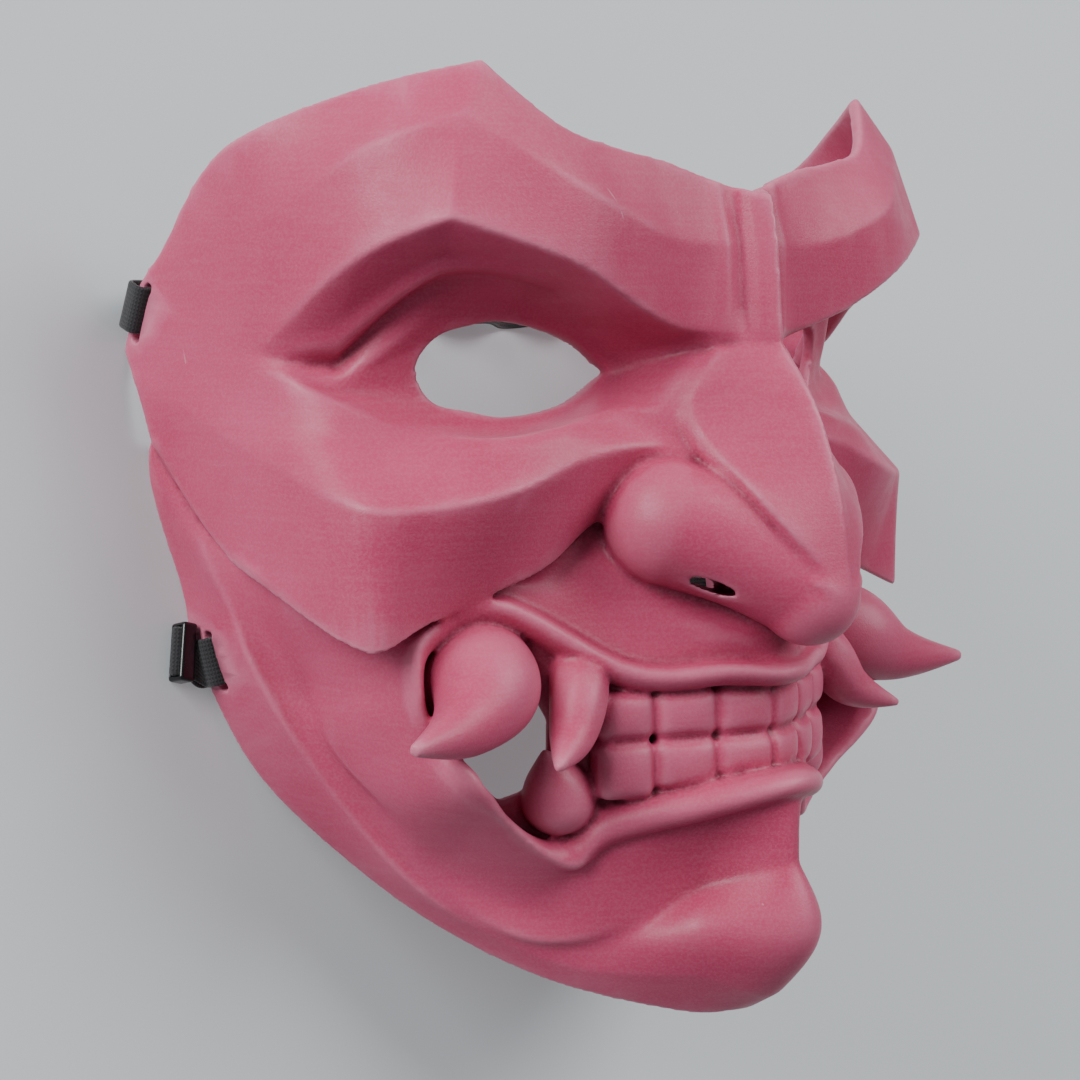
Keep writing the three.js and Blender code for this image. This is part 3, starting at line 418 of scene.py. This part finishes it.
curls = new_object("nose_curls", both_sides(horn(
    [(24, -40, -14.5), (16, -43.5, -7.5), (8, -49, 0), (0, -55.5, 6.5), (-4, -60, 9)],
    [14.7, 14.4, 13.2, 12.3, 11])))
ball = bmesh.new()
bmesh.ops.create_uvsphere(ball, u_segments=64, v_segments=32, radius=14.8,
                          matrix=Matrix.Translation((24, -40, -14.5)))
curl_ends = new_object("curl_ends", both_sides(ball))

tip = bmesh.new()
bmesh.ops.create_uvsphere(tip, u_segments=48, v_segments=24, radius=12,
                          matrix=Matrix.Translation((0, -57, 7.6)))
nose_tip = new_object("nose_tip", tip)

# %% [markdown]
# ## Welding
# Voxel remeshing fills the joined pieces with small cubes and skins them again. What lay
# inside the others disappears, and each seam gets a radius of under a millimetre, as a
# moulded part has. Joining by Boolean unions would leave knife edges in every seam.

# %% Weld pieces into one skin
def weld(name, pieces, voxel):
    """Joins pieces into one object and gives them one skin. The pieces are used up."""
    shape = bmesh.new()
    for piece in pieces:
        shape.from_mesh(piece.data)
        bpy.data.objects.remove(piece)
    made = new_object(name, shape)
    remesh = made.modifiers.new("one skin", "REMESH")
    remesh.mode = "VOXEL"
    remesh.voxel_size = voxel
    return finish_modifiers(made)


def cut_away(body, cutter):
    """Takes a closed cutter out of the body. The cutter is used up."""
    boolean = body.modifiers.new("cut", "BOOLEAN")
    boolean.operation = "DIFFERENCE"
    boolean.solver = "MANIFOLD"
    boolean.object = cutter
    finish_modifiers(body)
    bpy.data.objects.remove(cutter)
    return body


face = weld("face", [upper_shell, jaw_shell, nose, curls, curl_ends, nose_tip], voxel=0.8)
print("welded face:", len(face.data.polygons), "faces")

# %% [markdown]
# ## Holes
# The eye holes follow the two lid lines, and the gap behind the tusks follows a listed
# outline. Both are cut with a straight bar along the line of sight. The nose is hollow
# behind, so its wall stays thin.

# %% Eyes, mouth gaps and nose hollow
def bar(outline, axis, forwards, backwards):
    """A bar on a closed outline, reaching both ways along an axis."""
    direction = Vector(axis).normalized()
    shape = bmesh.new()
    end = shape.faces.new([shape.verts.new(Vector(p) - direction * backwards) for p in outline])
    grown = bmesh.ops.extrude_face_region(shape, geom=[end])["geom"]
    bmesh.ops.translate(shape, vec=direction * (forwards + backwards),
                        verts=[v for v in grown if isinstance(v, bmesh.types.BMVert)])
    bmesh.ops.recalc_face_normals(shape, faces=shape.faces)
    return shape


def lid(line):
    """The part of a lid line that borders the eye hole."""
    return [on_line(upper_lines[line][1], 2 + k / 2) for k in range(1, 7)]


inner_corner, outer_corner = Vector((22.2, -6.4, -34)), Vector((71.5, -4.8, -48))
eye_corners = [inner_corner] + lid(4) + [outer_corner] + lid(5)[::-1] + [inner_corner]
eye_outline = [on_line(eye_corners, k / 6) for k in range(6 * (len(eye_corners) - 1))]
gap_outline = [(x, y, -35) for x, y in [(71, -88), (65, -97), (57, -104), (49, -102), (43, -96),
                                        (43, -86), (50, -76), (60, -80)]]
cut_away(face, new_object("eye_bars", both_sides(bar(eye_outline, (0.16, 0.05, 1), 22, 22))))
cut_away(face, new_object("gap_bars", both_sides(bar(gap_outline, (0.6, 0.05, 0.8), 26, 30))))
cut_away(face, new_object("nose_hollow", nose_block(1, 7, inset=5)))

# %% [markdown]
# The nostrils are flat slits under the curls, and they open into the hollow of the nose. The
# cutter is a sphere pressed flat and drawn long, which leaves a slit with pointed ends.

# %% Nostrils
def nostril_bar(start=(25, -51, -13), end=(11.5, -56.8, -3), half_height=1.9, half_depth=11):
    """A flat oval bar from under the curl up into the hollow of the nose."""
    start, end = Vector(start), Vector(end)
    along = (end - start).normalized()
    upwards = (Vector((0, 1, 0)) - along * along.y).normalized()
    turned = Matrix((along, upwards, along.cross(upwards))).transposed().to_4x4()
    turned.translation = (start + end) / 2
    shape = bmesh.new()
    stretched = Matrix.Diagonal(((end - start).length / 2, half_height, half_depth, 1))
    bmesh.ops.create_uvsphere(shape, u_segments=48, v_segments=24, radius=1, matrix=turned @ stretched)
    return both_sides(shape)


cut_away(face, new_object("nostril_bars", nostril_bar()))

# %% [markdown]
# ## Teeth
# Twelve blunt teeth stand in two rows along the arch of the mouth. Each starts as a cube
# with its edges bevelled, and its front is bowed outwards a little, so that the gloss breaks
# on every tooth by itself.

# %% Two rows of teeth
tooth_arch = [(0, -1.8), (14.9, -6.4), (28.8, -13.4), (40.8, -19.4)]
tooth_depth, tooth_rounding, tooth_bow = 9.5, 2.9, 1.4
upper_edge, bite, lower_edge, corner_drop = -78.5, -90, -99.5, 5


def tooth(width, height, place):
    """A cube with round edges and a bowed front, turned and moved to its place."""
    shape = bmesh.new()
    bmesh.ops.create_cube(shape, size=1, matrix=Matrix.Diagonal((width, height, tooth_depth, 1)))
    bmesh.ops.bevel(shape, geom=shape.edges[:], offset=tooth_rounding, segments=5, profile=0.5,
                    affect="EDGES", material=-1)
    bmesh.ops.subdivide_edges(shape, edges=[e for e in shape.edges if e.calc_length() > 4],
                              cuts=4, use_grid_fill=True)
    for corner in shape.verts:
        bow = cos(pi * corner.co.x / width * 0.9) * cos(pi * corner.co.y / height * 0.9)
        if corner.co.z > 0:
            corner.co.z += tooth_bow * bow
    bmesh.ops.transform(shape, matrix=place, verts=shape.verts)
    return shape


teeth = bmesh.new()
for k, ((x0, z0), (x1, z1)) in enumerate(zip(tooth_arch, tooth_arch[1:])):
    width = hypot(x1 - x0, z1 - z0) + 0.3
    low = lower_edge - corner_drop * (k + 0.5) / 3
    for bottom, top in [(bite - 0.1, upper_edge), (low, bite + 0.1)]:
        place = (Matrix.Translation(((x0 + x1) / 2, (bottom + top) / 2, (z0 + z1) / 2))
                 @ Matrix.Rotation(atan2(z0 - z1, x1 - x0), 4, "Y")
                 @ Matrix.Translation((0, 0, -tooth_depth / 2)))
        pour(tooth(width, top - bottom, place), teeth)
teeth = new_object("teeth", both_sides(teeth))

# %% [markdown]
# ## Tusks, fangs and the round back tooth
# The tusks sweep out past the cheeks and the fangs hook down in front of them. Their paths
# start inside the jaw, so the weld closes over their roots. The round tooth is a profile
# spun like a pot on a wheel, then tipped towards its point.

# %% Tusks and fangs
tusks = new_object("tusks", both_sides(horn(
    [(60, -74, -46), (66.5, -75.8, -31.5), (80, -81.8, -24.5), (100, -83.8, -18.5)],
    [12.5, 12.8, 7.2, 1.4])))
fangs = new_object("fangs", both_sides(horn(
    [(41, -71, -27), (46, -79, -21.8), (52, -87, -18.3), (63.3, -91.7, -11.9)], [6.6, 6.8, 5.2, 0.9],
    flutes=0.05)))


def round_tooth():
    """A round root that is drawn out to a point, as an onion is."""
    center, reach, r = Vector((43, -103.5, -31)), Vector((6.5, 12.5, 1.5)), 8.8
    point = reach.length
    profile = [(0, 0, -r), (0.7 * r, 0, -0.72 * r), (r, 0, -0.1 * r), (0.8 * r, 0, 0.55 * r),
               (0.36 * r, 0, 0.72 * point), (0, 0, point)]
    profile = [Vector(p) for p in profile]
    shape = bmesh.new()
    line = [shape.verts.new(on_line(profile, k / 5)) for k in range(26)]
    edges = [shape.edges.new(pair) for pair in zip(line, line[1:])]
    bmesh.ops.spin(shape, geom=line + edges, cent=(0, 0, 0), axis=(0, 0, 1), angle=2 * pi, steps=40,
                   use_merge=True)
    bmesh.ops.remove_doubles(shape, verts=shape.verts, dist=0.001)
    bmesh.ops.recalc_face_normals(shape, faces=shape.faces)
    turned = Vector((0, 0, 1)).rotation_difference(reach).to_matrix().to_4x4()
    bmesh.ops.transform(shape, matrix=Matrix.Translation(center) @ turned, verts=shape.verts)
    return shape


round_teeth = new_object("round_teeth", both_sides(round_tooth()))

# %% [markdown]
# ## Laying the mask down
# The teeth are welded in, and the mask is tipped back and slotted for the straps. From here on
# it is worked in millimetres on the floor, because the straps lie there. Each slot is set by a
# place on the rim and the direction of the rim, and its box is turned to them.

# %% Weld, lay down and cut the strap slots
face = weld("mask", [face, teeth, tusks, fangs, round_teeth], voxel=0.65)
print("mask welded:", len(face.data.polygons), "faces")
face.data.transform(to_floor)


def laid_slot(rim, along):
    """A slot's place on the laid rim, with the directions along, out of and into the wall."""
    along = (to_room.to_3x3() @ Vector(along)).normalized()
    outwards = (Vector((1, 0, 0)) - along * along.x).normalized()
    inwards = along.cross(outwards)
    if inwards.z < 0:
        inwards = -inwards
    return to_floor @ Vector(rim), along, outwards, inwards


upper_slot = laid_slot((98, 8.6, -116.1), (0, -0.928, -0.372))
lower_slot = laid_slot((89.4, -75, -103), (-0.103, -0.971, 0.215))
lower_slot[0].z = 1.85
slot_length, slot_width, slot_reach = 14.5, 2.8, 16
upper_depth, lower_depth = 2.4 + slot_width / 2, 3.8 + slot_width / 2

for (rim, along, outwards, inwards), depth in [(upper_slot, upper_depth), (lower_slot, lower_depth)]:
    turned = Matrix((outwards, along, outwards.cross(along))).transposed().to_4x4()
    turned.translation = rim + inwards * depth
    slot = bmesh.new()
    bmesh.ops.create_cube(slot, size=1,
                          matrix=turned @ Matrix.Diagonal((slot_reach, slot_length, slot_width, 1)))
    ends = [e for e in slot.edges if abs((e.verts[1].co - e.verts[0].co).normalized().dot(outwards)) > 0.9]
    bmesh.ops.bevel(slot, geom=ends, offset=1.2, segments=4, profile=0.5, affect="EDGES", material=-1)
    cut_away(face, new_object("slot", both_sides(slot)))

# %% [markdown]
# A little smoothing takes off the faint steps that voxels leave. The rim is then cut level where
# the mask rests, and notched where the lower strap runs under it. Decimate comes last and spends
# the faces where the surface bends. Then the mask is measured in metres again.

# %% Smooth, cut the resting flats and thin out
face_budget = 190000


def box(low, high):
    shape = bmesh.new()
    middle = [(a + b) / 2 for a, b in zip(low, high)]
    size = [b - a for a, b in zip(low, high)]
    bmesh.ops.create_cube(shape, size=1, matrix=Matrix.Translation(middle) @ Matrix.Diagonal(size + [1]))
    return shape


shape = bmesh.new()
shape.from_mesh(face.data)
for _ in range(3):
    bmesh.ops.smooth_vert(shape, verts=shape.verts, factor=0.5,
                          use_axis_x=True, use_axis_y=True, use_axis_z=True)
shape.to_mesh(face.data)
shape.free()
cut_away(face, new_object("floor_block", box((-120, -140, -12), (120, 140, 0))))
notch = box((80, lower_slot[0].y - 6.35, -1), (100, lower_slot[0].y + 6.35, lower_slot[0].z))
cut_away(face, new_object("rim_notches", both_sides(notch)))
thin = face.modifiers.new("thin out", "DECIMATE")
thin.ratio = face_budget / (2 * len(face.data.polygons))
finish_modifiers(face)
face.data.transform(Matrix.Scale(0.001, 4))
print("mask:", sum(len(p.vertices) - 2 for p in face.data.polygons), "triangles")

# %% [markdown]
# ## Elastic straps
# Each strap is one woven band. At each end it runs under the rim, comes back in through the slot
# and is folded onto itself and stitched. Its path is written as corners, and a band bends over
# a corner in a small round, so every corner is replaced by a short curve. A station of the path
# is a place and the direction of the band's width there.

# %% The path of a strap
def rounded(corners, radius=1.7):
    """Replaces each inner corner of a path by a short curve."""
    path = [corners[0]]
    for before, corner, after in zip(corners, corners[1:], corners[2:]):
        reach = [min(0.45, radius / max(0.01, (other[0] - corner[0]).length))
                 for other in (before, after)]
        start, end = [[a.lerp(b, part) for a, b in zip(corner, other)]
                      for part, other in zip(reach, (before, after))]
        for k in range(7):
            t = k / 6
            path.append([a.lerp(c, t).lerp(c.lerp(b, t), t) for a, b, c in zip(start, end, corner)])
    return path + [corners[-1]]


behind_wall, under_rim, beside_rim, folded_back = 4.2, 1, 1.7, 5.3
half_thickness, layer_step, resting_height = 0.6, 1.4, 0.75


def floor_path(slot, wave):
    """The middle of the band, which lies across the floor in six low waves."""
    rim, along, outwards, inwards = slot
    foot = rim - outwards * behind_wall - inwards * under_rim
    path = []
    for k in range(241):
        share = k / 120 - 1
        side = 1 if share > 0 else -1
        from_end = 1 - abs(share)
        ease = soft_step(from_end, 0, 0.09)
        lift = wave / 2 * (1 - cos(6 * pi * from_end)) * soft_step(from_end, 0.06, 0.2)
        lean = abs(share) * (1 - ease)
        wide = Vector((along.x * lean * side, along.y, along.z * lean)).normalized()
        height = foot.z + (resting_height + lift - foot.z) * ease
        path.append([Vector((foot.x * share, foot.y, height)), wide])
    return path


def folded_end(path, length=11):
    """The end of the strap, lying back on the band that it is stitched to."""
    end = []
    for (before, _), (place, wide), (after, _) in zip(path[::-1], path[-2::-1], path[-3::-1]):
        upwards = wide.cross(before - after).normalized()
        upwards = -upwards if upwards.z < 0 else upwards
        end.append([place + upwards * layer_step, wide])
        if (place - path[-1][0]).length > length:
            return end[5:]


def in_slot(slot, *corners):
    """Stations at distances outwards and inwards from a slot's rim."""
    rim, along, outwards, inwards = slot
    return [[rim + outwards * a + inwards * b, along] for a, b in corners]


# %% [markdown]
# The band is 11.5 mm wide and 1.2 mm thick. Its section has round edges and is carried along
# the path. Its cloth map counts real millimetres, so that the ribs of the elastic keep their
# width round every bend.

# %% Weave the band along its path
angles = [a * pi / 8 for a in range(-4, 5)]
section = [(5.15 + half_thickness * cos(a), half_thickness * sin(a)) for a in angles]
section += [(x, half_thickness) for x in (3, 1, -1, -3)]
section += [(-x, -y) for x, y in section]


def ribbon(name, path):
    """One closed band on a path. Its cloth map counts millimetres round and along it."""
    places = [place for place, _ in path]
    run = [0.0]
    for before, after in zip(places, places[1:]):
        run.append(run[-1] + (after - before).length)
    last = len(path) - 1

    def place(across, down):
        k = round(down * last)
        middle, wide = path[k]
        ahead = places[min(last, k + 1)] - places[max(0, k - 1)]
        x, y = section[round(across * len(section)) % len(section)]
        return middle + wide.normalized() * x + wide.cross(ahead).normalized() * y

    def cloth_map(across, down):
        k = round(across * len(section))
        around = sum(hypot(section[j % len(section)][0] - section[j - 1][0],
                           section[j % len(section)][1] - section[j - 1][1]) for j in range(1, k + 1))
        return around, run[round(down * last)]

    made = new_object(name, close_tube(sheet(len(section), last, place, cloth_map)))
    made.data.transform(Matrix.Scale(0.001, 4))
    print(name, "is", round(run[-1]), "mm long with its folded ends")
    return made


def round_the_rim(slot, depth):
    """A loop under the rim, up beside it, in through the slot and back down."""
    return in_slot(slot, (-behind_wall, -under_rim), (beside_rim, -under_rim), (beside_rim, depth),
                   (-folded_back, depth), (-folded_back, 1.5))


def strap_path(slot, wave, near_loop, far_loop):
    """The whole strap, from one folded end to the other."""
    middle = floor_path(slot, wave)
    near, far = [rounded(loop + folded_end(middle)[:1]) + folded_end(middle)
                 for loop in (near_loop, far_loop)]
    near = [[mirrored(place), mirrored(wide)] for place, wide in near[::-1]]
    return near + middle[1:-1] + far


pulled_up = (upper_slot[0] - upper_slot[1] * 0.7,) + upper_slot[1:]
upper_loop = round_the_rim(pulled_up, upper_depth)
upper_strap = ribbon("upper_strap_band", strap_path(pulled_up, 7, upper_loop, upper_loop))

# %% [markdown]
# The lower strap is longer on the wearer's right. Its loop comes out beside the wall, turned a
# little towards the brow, and a small black slider holds the two layers together. The slider is
# a block with round edges that a second block opens.

# %% The lower strap and its slider
slider_block, slider_window = (4.2, 14, 5.4), (8, 12.1, 3.6)
block_rounding, window_rounding = 1.1, 0.3
slider_place, layer_middle = 6.15, 0.95
tab_turn = radians(15)
tab = (lower_slot[0] + Vector((0, 1.5, 0)), Vector((sin(tab_turn), -cos(tab_turn), 0)),
       Vector((cos(tab_turn), sin(tab_turn), 0)), Vector((0, 0, 1)))
plain_loop = round_the_rim(lower_slot, lower_depth)
tab_loop = (plain_loop[:2]
            + in_slot(tab, (3.3, 0.1), (8.1, 0.1), (8.95, layer_middle), (8.1, 1.8), (3.9, 1.8))
            + in_slot(lower_slot, (1.9, 1.9)) + plain_loop[2:])
lower_strap = ribbon("lower_strap_band", strap_path(lower_slot, 6, tab_loop, plain_loop))


def sleeve():
    """A short block with round edges, and a window through it for the two layers."""
    rim, along, outwards, inwards = tab
    turned = Matrix((outwards, along, inwards)).transposed().to_4x4()
    turned.translation = rim + outwards * slider_place + inwards * layer_middle
    turned = Matrix.Scale(-1, 4, (1, 0, 0)) @ turned
    blocks = []
    for size, offset in [(slider_block, block_rounding), (slider_window, window_rounding)]:
        block = bmesh.new()
        bmesh.ops.create_cube(block, size=1, matrix=Matrix.Diagonal(size + (1,)))
        bmesh.ops.bevel(block, geom=block.edges[:], offset=offset, segments=5, profile=0.6,
                        affect="EDGES", material=-1)
        bmesh.ops.transform(block, matrix=turned, verts=block.verts)
        bmesh.ops.recalc_face_normals(block, faces=block.faces)
        blocks.append(new_object("slider_block", block))
    cut_away(*blocks)
    blocks[0].data.transform(Matrix.Scale(0.001, 4))
    return blocks[0]


slider = sleeve()
slider.name = "strap_slider"

# %% [markdown]
# ## Finishes
# A hex colour is what a colour picker shows, while a shader counts light, so one function
# turns the first into the second. Another adds a node with its settings and its links.

# %% Colours and nodes
def colour(hex_code):
    """An sRGB hex code as the linear red, green and blue that a shader takes."""
    parts = [int(hex_code[k:k + 2], 16) / 255 for k in (1, 3, 5)]
    return [c / 12.92 if c <= 0.04045 else ((c + 0.055) / 1.055) ** 2.4 for c in parts] + [1]


def wire(output, socket):
    """Links the output of one node to the socket of another."""
    socket.id_data.links.new(output, socket)


def add(material, kind, settings=None, **links):
    """Adds a node. Settings go to its options and sockets, links come from other sockets.
    Where two sockets share a name, i0, i1 and i2 stand for the first, second and third."""
    node = material.node_tree.nodes.new(kind)
    for name, value in (settings or {}).items():
        if name in node.inputs:
            node.inputs[name].default_value = value
        else:
            setattr(node, name, value)
    for name, source in links.items():
        wire(source, node.inputs[int(name[1]) if name in ("i0", "i1", "i2") else name])
    return node


def new_finish(name):
    material = bpy.data.materials.new(name)
    material.use_nodes = True
    shader = material.node_tree.nodes["Principled BSDF"]
    return material, shader


# %% [markdown]
# A moulded mask is never one flat pink. Its outer edges get a painted highlight and its hollows
# get painted shade. How far each corner of the mesh bends outwards is measured once and kept with
# the mesh, and the material reads it.

# %% Measure how the surface bends
def store_bend(piece, reach=2):
    """Stores 0.5 on flat places, more on outer edges and less in hollows."""
    shape = bmesh.new()
    shape.from_mesh(piece.data)
    shape.normal_update()
    bend = []
    for corner in shape.verts:
        around = [(e.other_vert(corner).co - corner.co).normalized() for e in corner.link_edges]
        bend.append(-sum(direction.dot(corner.normal) for direction in around) / max(1, len(around)))
    shape.verts.index_update()
    for _ in range(reach):
        bend = [(bend[v.index] + sum(bend[e.other_vert(v).index] for e in v.link_edges))
                / (1 + len(v.link_edges)) for v in shape.verts]
    shape.free()
    layer = piece.data.attributes.new("bend", "FLOAT", "POINT")
    layer.data.foreach_set("value", [min(1, max(0, 0.5 + 2.2 * b)) for b in bend])


store_bend(face)

# %% [markdown]
# ## The pink plastic
# The whole mask has one finish, a satin raspberry plastic. Light patches 4 cm wide keep it from
# being one tone. The grain is an orange peel of 0.43 mm, which is 2300 humps to the metre, and it
# breaks up the highlights. Faint level lines 1 mm apart run across the face, as layers of a
# printed master leave them. Four light scratches are about 0.6 mm wide.

# %% Satin pink plastic
pink, pink_shader = new_finish("satin_raspberry_moulded_plastic")
on_pink = add(pink, "ShaderNodeTexCoord").outputs["Object"]
upright = add(pink, "ShaderNodeMapping", {"Rotation": (radians(-12.5), 0, 0)},
              Vector=on_pink).outputs["Vector"]


def noise(material, where, scale, detail=2.0):
    """Noise with so many humps to the metre."""
    return add(material, "ShaderNodeTexNoise", {"Scale": scale, "Detail": detail},
               Vector=where).outputs["Fac"]


def blend(material, factor, first, second):
    """Mixes two colours. Each is a hex code or the output of a node."""
    node = add(material, "ShaderNodeMix", {"data_type": "RGBA"})
    for socket, source in [(node.inputs[0], factor), (node.inputs[6], first), (node.inputs[7], second)]:
        if isinstance(source, str):
            socket.default_value = colour(source)
        elif isinstance(source, (int, float)):
            socket.default_value = source
        else:
            wire(source, socket)
    return node.outputs[2]


def ramp(material, source, low, high, bottom=0.0, top=1.0):
    """Rises from bottom to top while the source goes from low to high."""
    limits = {"From Min": low, "From Max": high, "To Min": bottom, "To Max": top}
    return add(material, "ShaderNodeMapRange", limits, Value=source).outputs["Result"]


def scratch(start, end, half_width):
    """1 on a straight scratch between two places on the face, 0 away from it."""
    start, end = [to_room @ Vector(place) for place in (start, end)]
    run = end - start
    offset = add(pink, "ShaderNodeVectorMath", {"operation": "SUBTRACT"}, i0=on_pink)
    offset.inputs[1].default_value = start
    share = add(pink, "ShaderNodeVectorMath", {"operation": "DOT_PRODUCT"}, i0=offset.outputs[0])
    share.inputs[1].default_value = run / run.length_squared
    held = add(pink, "ShaderNodeMath", {"operation": "MULTIPLY", "use_clamp": True},
               i0=share.outputs["Value"])
    held.inputs[1].default_value = 1
    along = add(pink, "ShaderNodeVectorMath", {"operation": "SCALE", "Vector": run},
                Scale=held.outputs[0])
    away = add(pink, "ShaderNodeVectorMath", {"operation": "DISTANCE"},
               i0=offset.outputs[0], i1=along.outputs[0])
    return ramp(pink, away.outputs["Value"], half_width, 0.4 * half_width)


bend = add(pink, "ShaderNodeAttribute", {"attribute_name": "bend"}).outputs["Fac"]
patches = ramp(pink, noise(pink, on_pink, 26, 3), 0.35, 0.68)
body = blend(pink, patches, "#ab395b", "#b54567")
drawn_out = add(pink, "ShaderNodeMapping", {"Scale": (28, 950, 60)}, Vector=upright).outputs["Vector"]
lines = noise(pink, drawn_out, 1, 1.5)
body = blend(pink, ramp(pink, lines, 0.45, 0.72, 0, 0.05), body, "#c98295")
# Painted shade: the hollows are darkened towards a deep pink.
body = blend(pink, ramp(pink, bend, 0.47, 0.25, 0, 0.75), body, "#6e2438")
# Painted highlight: the outer edges are lightened towards a pale pink.
body = blend(pink, ramp(pink, bend, 0.53, 0.72, 0, 0.45), body, "#d08aa0")
body = blend(pink, ramp(pink, noise(pink, on_pink, 1500, 1), 0.4, 0.65, 0, 0.12), body, "#c27f92")
marks = [scratch(*ends) for ends in [
    ((-54, 47, -15), (-43, 22, -7), 0.0003), ((-10, -128, 2), (2, -142, 5), 0.0003),
    ((-84, -4, -45), (-86, -22, -43), 0.00035), ((-97, 10, -100), (-98, -4, -96), 0.0003)]]
for mark in marks:
    body = blend(pink, ramp(pink, mark, 0, 1, 0, 0.4), body, "#cf93a4")
wire(body, pink_shader.inputs["Base Color"])
sheen = ramp(pink, noise(pink, on_pink, 140, 3), 0.3, 0.7, 0.36, 0.5)
wire(sheen, pink_shader.inputs["Roughness"])
pink_shader.inputs["Specular IOR Level"].default_value = 0.26

grain = add(pink, "ShaderNodeBump", {"Strength": 0.75, "Distance": 0.00008},
            Height=noise(pink, on_pink, 2300))
layers = add(pink, "ShaderNodeBump", {"Strength": 0.25, "Distance": 0.0001},
             Height=lines, Normal=grain.outputs["Normal"])
cuts = layers
for mark in marks:
    cuts = add(pink, "ShaderNodeBump", {"Strength": 0.5, "Distance": 0.0001, "invert": True},
               Height=mark, Normal=cuts.outputs["Normal"])
wire(cuts.outputs["Normal"], pink_shader.inputs["Normal"])

# %% [markdown]
# ## The black finishes
# The elastic has ribs 0.96 mm wide and stitches 0.54 mm long. A fine grey glitter is painted
# into its colour, lighter where the weave stands highest. Its cloth map counts millimetres. The slider
# is glossy moulded plastic, a little dulled in patches of 2 mm where it was handled.

# %% Black elastic and gloss
elastic, elastic_shader = new_finish("ribbed_black_elastic")
half_rib, half_stitch = 0.48, 0.27
cloth = add(elastic, "ShaderNodeUVMap", {"uv_map": "cloth"}).outputs["UV"]
apart = add(elastic, "ShaderNodeSeparateXYZ", Vector=cloth)


def count(source, operation, value):
    """One step of arithmetic on the cloth map."""
    node = add(elastic, "ShaderNodeMath", {"operation": operation}, i0=source)
    node.inputs[1].default_value = value
    return node.outputs[0]


ribs = count(apart.outputs["X"], "PINGPONG", half_rib)
slant = add(elastic, "ShaderNodeMath", {"operation": "MULTIPLY_ADD"}, i0=ribs, i2=apart.outputs["Y"])
slant.inputs[1].default_value = 0.6
stitches = count(slant.outputs[0], "PINGPONG", half_stitch)
knit = count(stitches, "MULTIPLY", 2.2)
height = add(elastic, "ShaderNodeMath", {"operation": "ADD"}, i0=knit, i1=ribs).outputs[0]
# Painted highlight: the raised ribs and stitches are painted grey, as if they caught the light.
painted_glint_threads = blend(elastic, ramp(elastic, height, 0.2, 0.95), "#09090b", "#2b2c30")
wire(painted_glint_threads, elastic_shader.inputs["Base Color"])
elastic_shader.inputs["Roughness"].default_value = 0.82
elastic_shader.inputs["Sheen Weight"].default_value = 0.25
weave = add(elastic, "ShaderNodeBump", {"Strength": 0.8, "Distance": 0.00025}, Height=height)
wire(weave.outputs["Normal"], elastic_shader.inputs["Normal"])

gloss, gloss_shader = new_finish("glossy_black_plastic")
on_gloss = add(gloss, "ShaderNodeTexCoord").outputs["Object"]
rubbed = ramp(gloss, noise(gloss, on_gloss, 500, 3), 0.4, 0.7, 0.12, 0.3)
wire(rubbed, gloss_shader.inputs["Roughness"])
gloss_shader.inputs["Base Color"].default_value = colour("#0d0e10")
for piece, finish in [(face, pink), (upper_strap, elastic), (lower_strap, elastic), (slider, gloss)]:
    piece.data.materials.clear()
    piece.data.materials.append(finish)
    for face_part in piece.data.polygons:
        face_part.use_smooth = True

# %% [markdown]
# ## Floor and light
# The picture has a plain grey ground and soft light from both sides. Large area lights give
# that: one low on the left of the camera and one high on the right. The ground glows faintly,
# which keeps it pale under the mask.

# %% Floor and lights
ground = bmesh.new()
bmesh.ops.create_grid(ground, x_segments=1, y_segments=1, size=3)
floor = new_object("floor", ground)
floor_finish, floor_shader = new_finish("pale_grey_floor")
floor_shader.inputs["Base Color"].default_value = colour("#b3b8bc")
floor_shader.inputs["Roughness"].default_value = 0.9
floor_shader.inputs["Emission Color"].default_value = colour("#c4c8cb")
floor_shader.inputs["Emission Strength"].default_value = 0.3
floor.data.materials.append(floor_finish)

room_light = bpy.data.worlds.new("studio")
bpy.context.scene.world = room_light
room_light.use_nodes = True
room_light.node_tree.nodes["Background"].inputs["Color"].default_value = (0.75, 0.78, 0.8, 1)
room_light.node_tree.nodes["Background"].inputs["Strength"].default_value = 0.3


def soft_light(name, place, target, width, watts):
    data = bpy.data.lights.new(name, "AREA")
    data.shape = "RECTANGLE"
    data.size = data.size_y = width
    data.energy = watts
    lamp = bpy.data.objects.new(name, data)
    lamp.location = place
    lamp.rotation_euler = (Vector(target) - Vector(place)).to_track_quat("-Z", "Y").to_euler()
    bpy.context.scene.collection.objects.link(lamp)


soft_light("left_window", (-1.3, 0.75, 0.3), (0, 0, 0.06), 0.9, 35)
soft_light("top_window", (0.55, 0.6, 1.25), (0, 0, 0.06), 1.1, 22)

# %% [markdown]
# ## Hand over
# Each piece rides on the part's one body and stands for its CAD node.

# %% Ride and replace
hand_over = [(face, "mask_shell", "moulded_pink"), (upper_strap, "upper_strap", "black_elastic"),
             (lower_strap, "lower_strap", "black_elastic"), (slider, "slider", "black_plastic")]
for piece, node, slot_name in hand_over:
    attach(piece, "root")
    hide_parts(node)
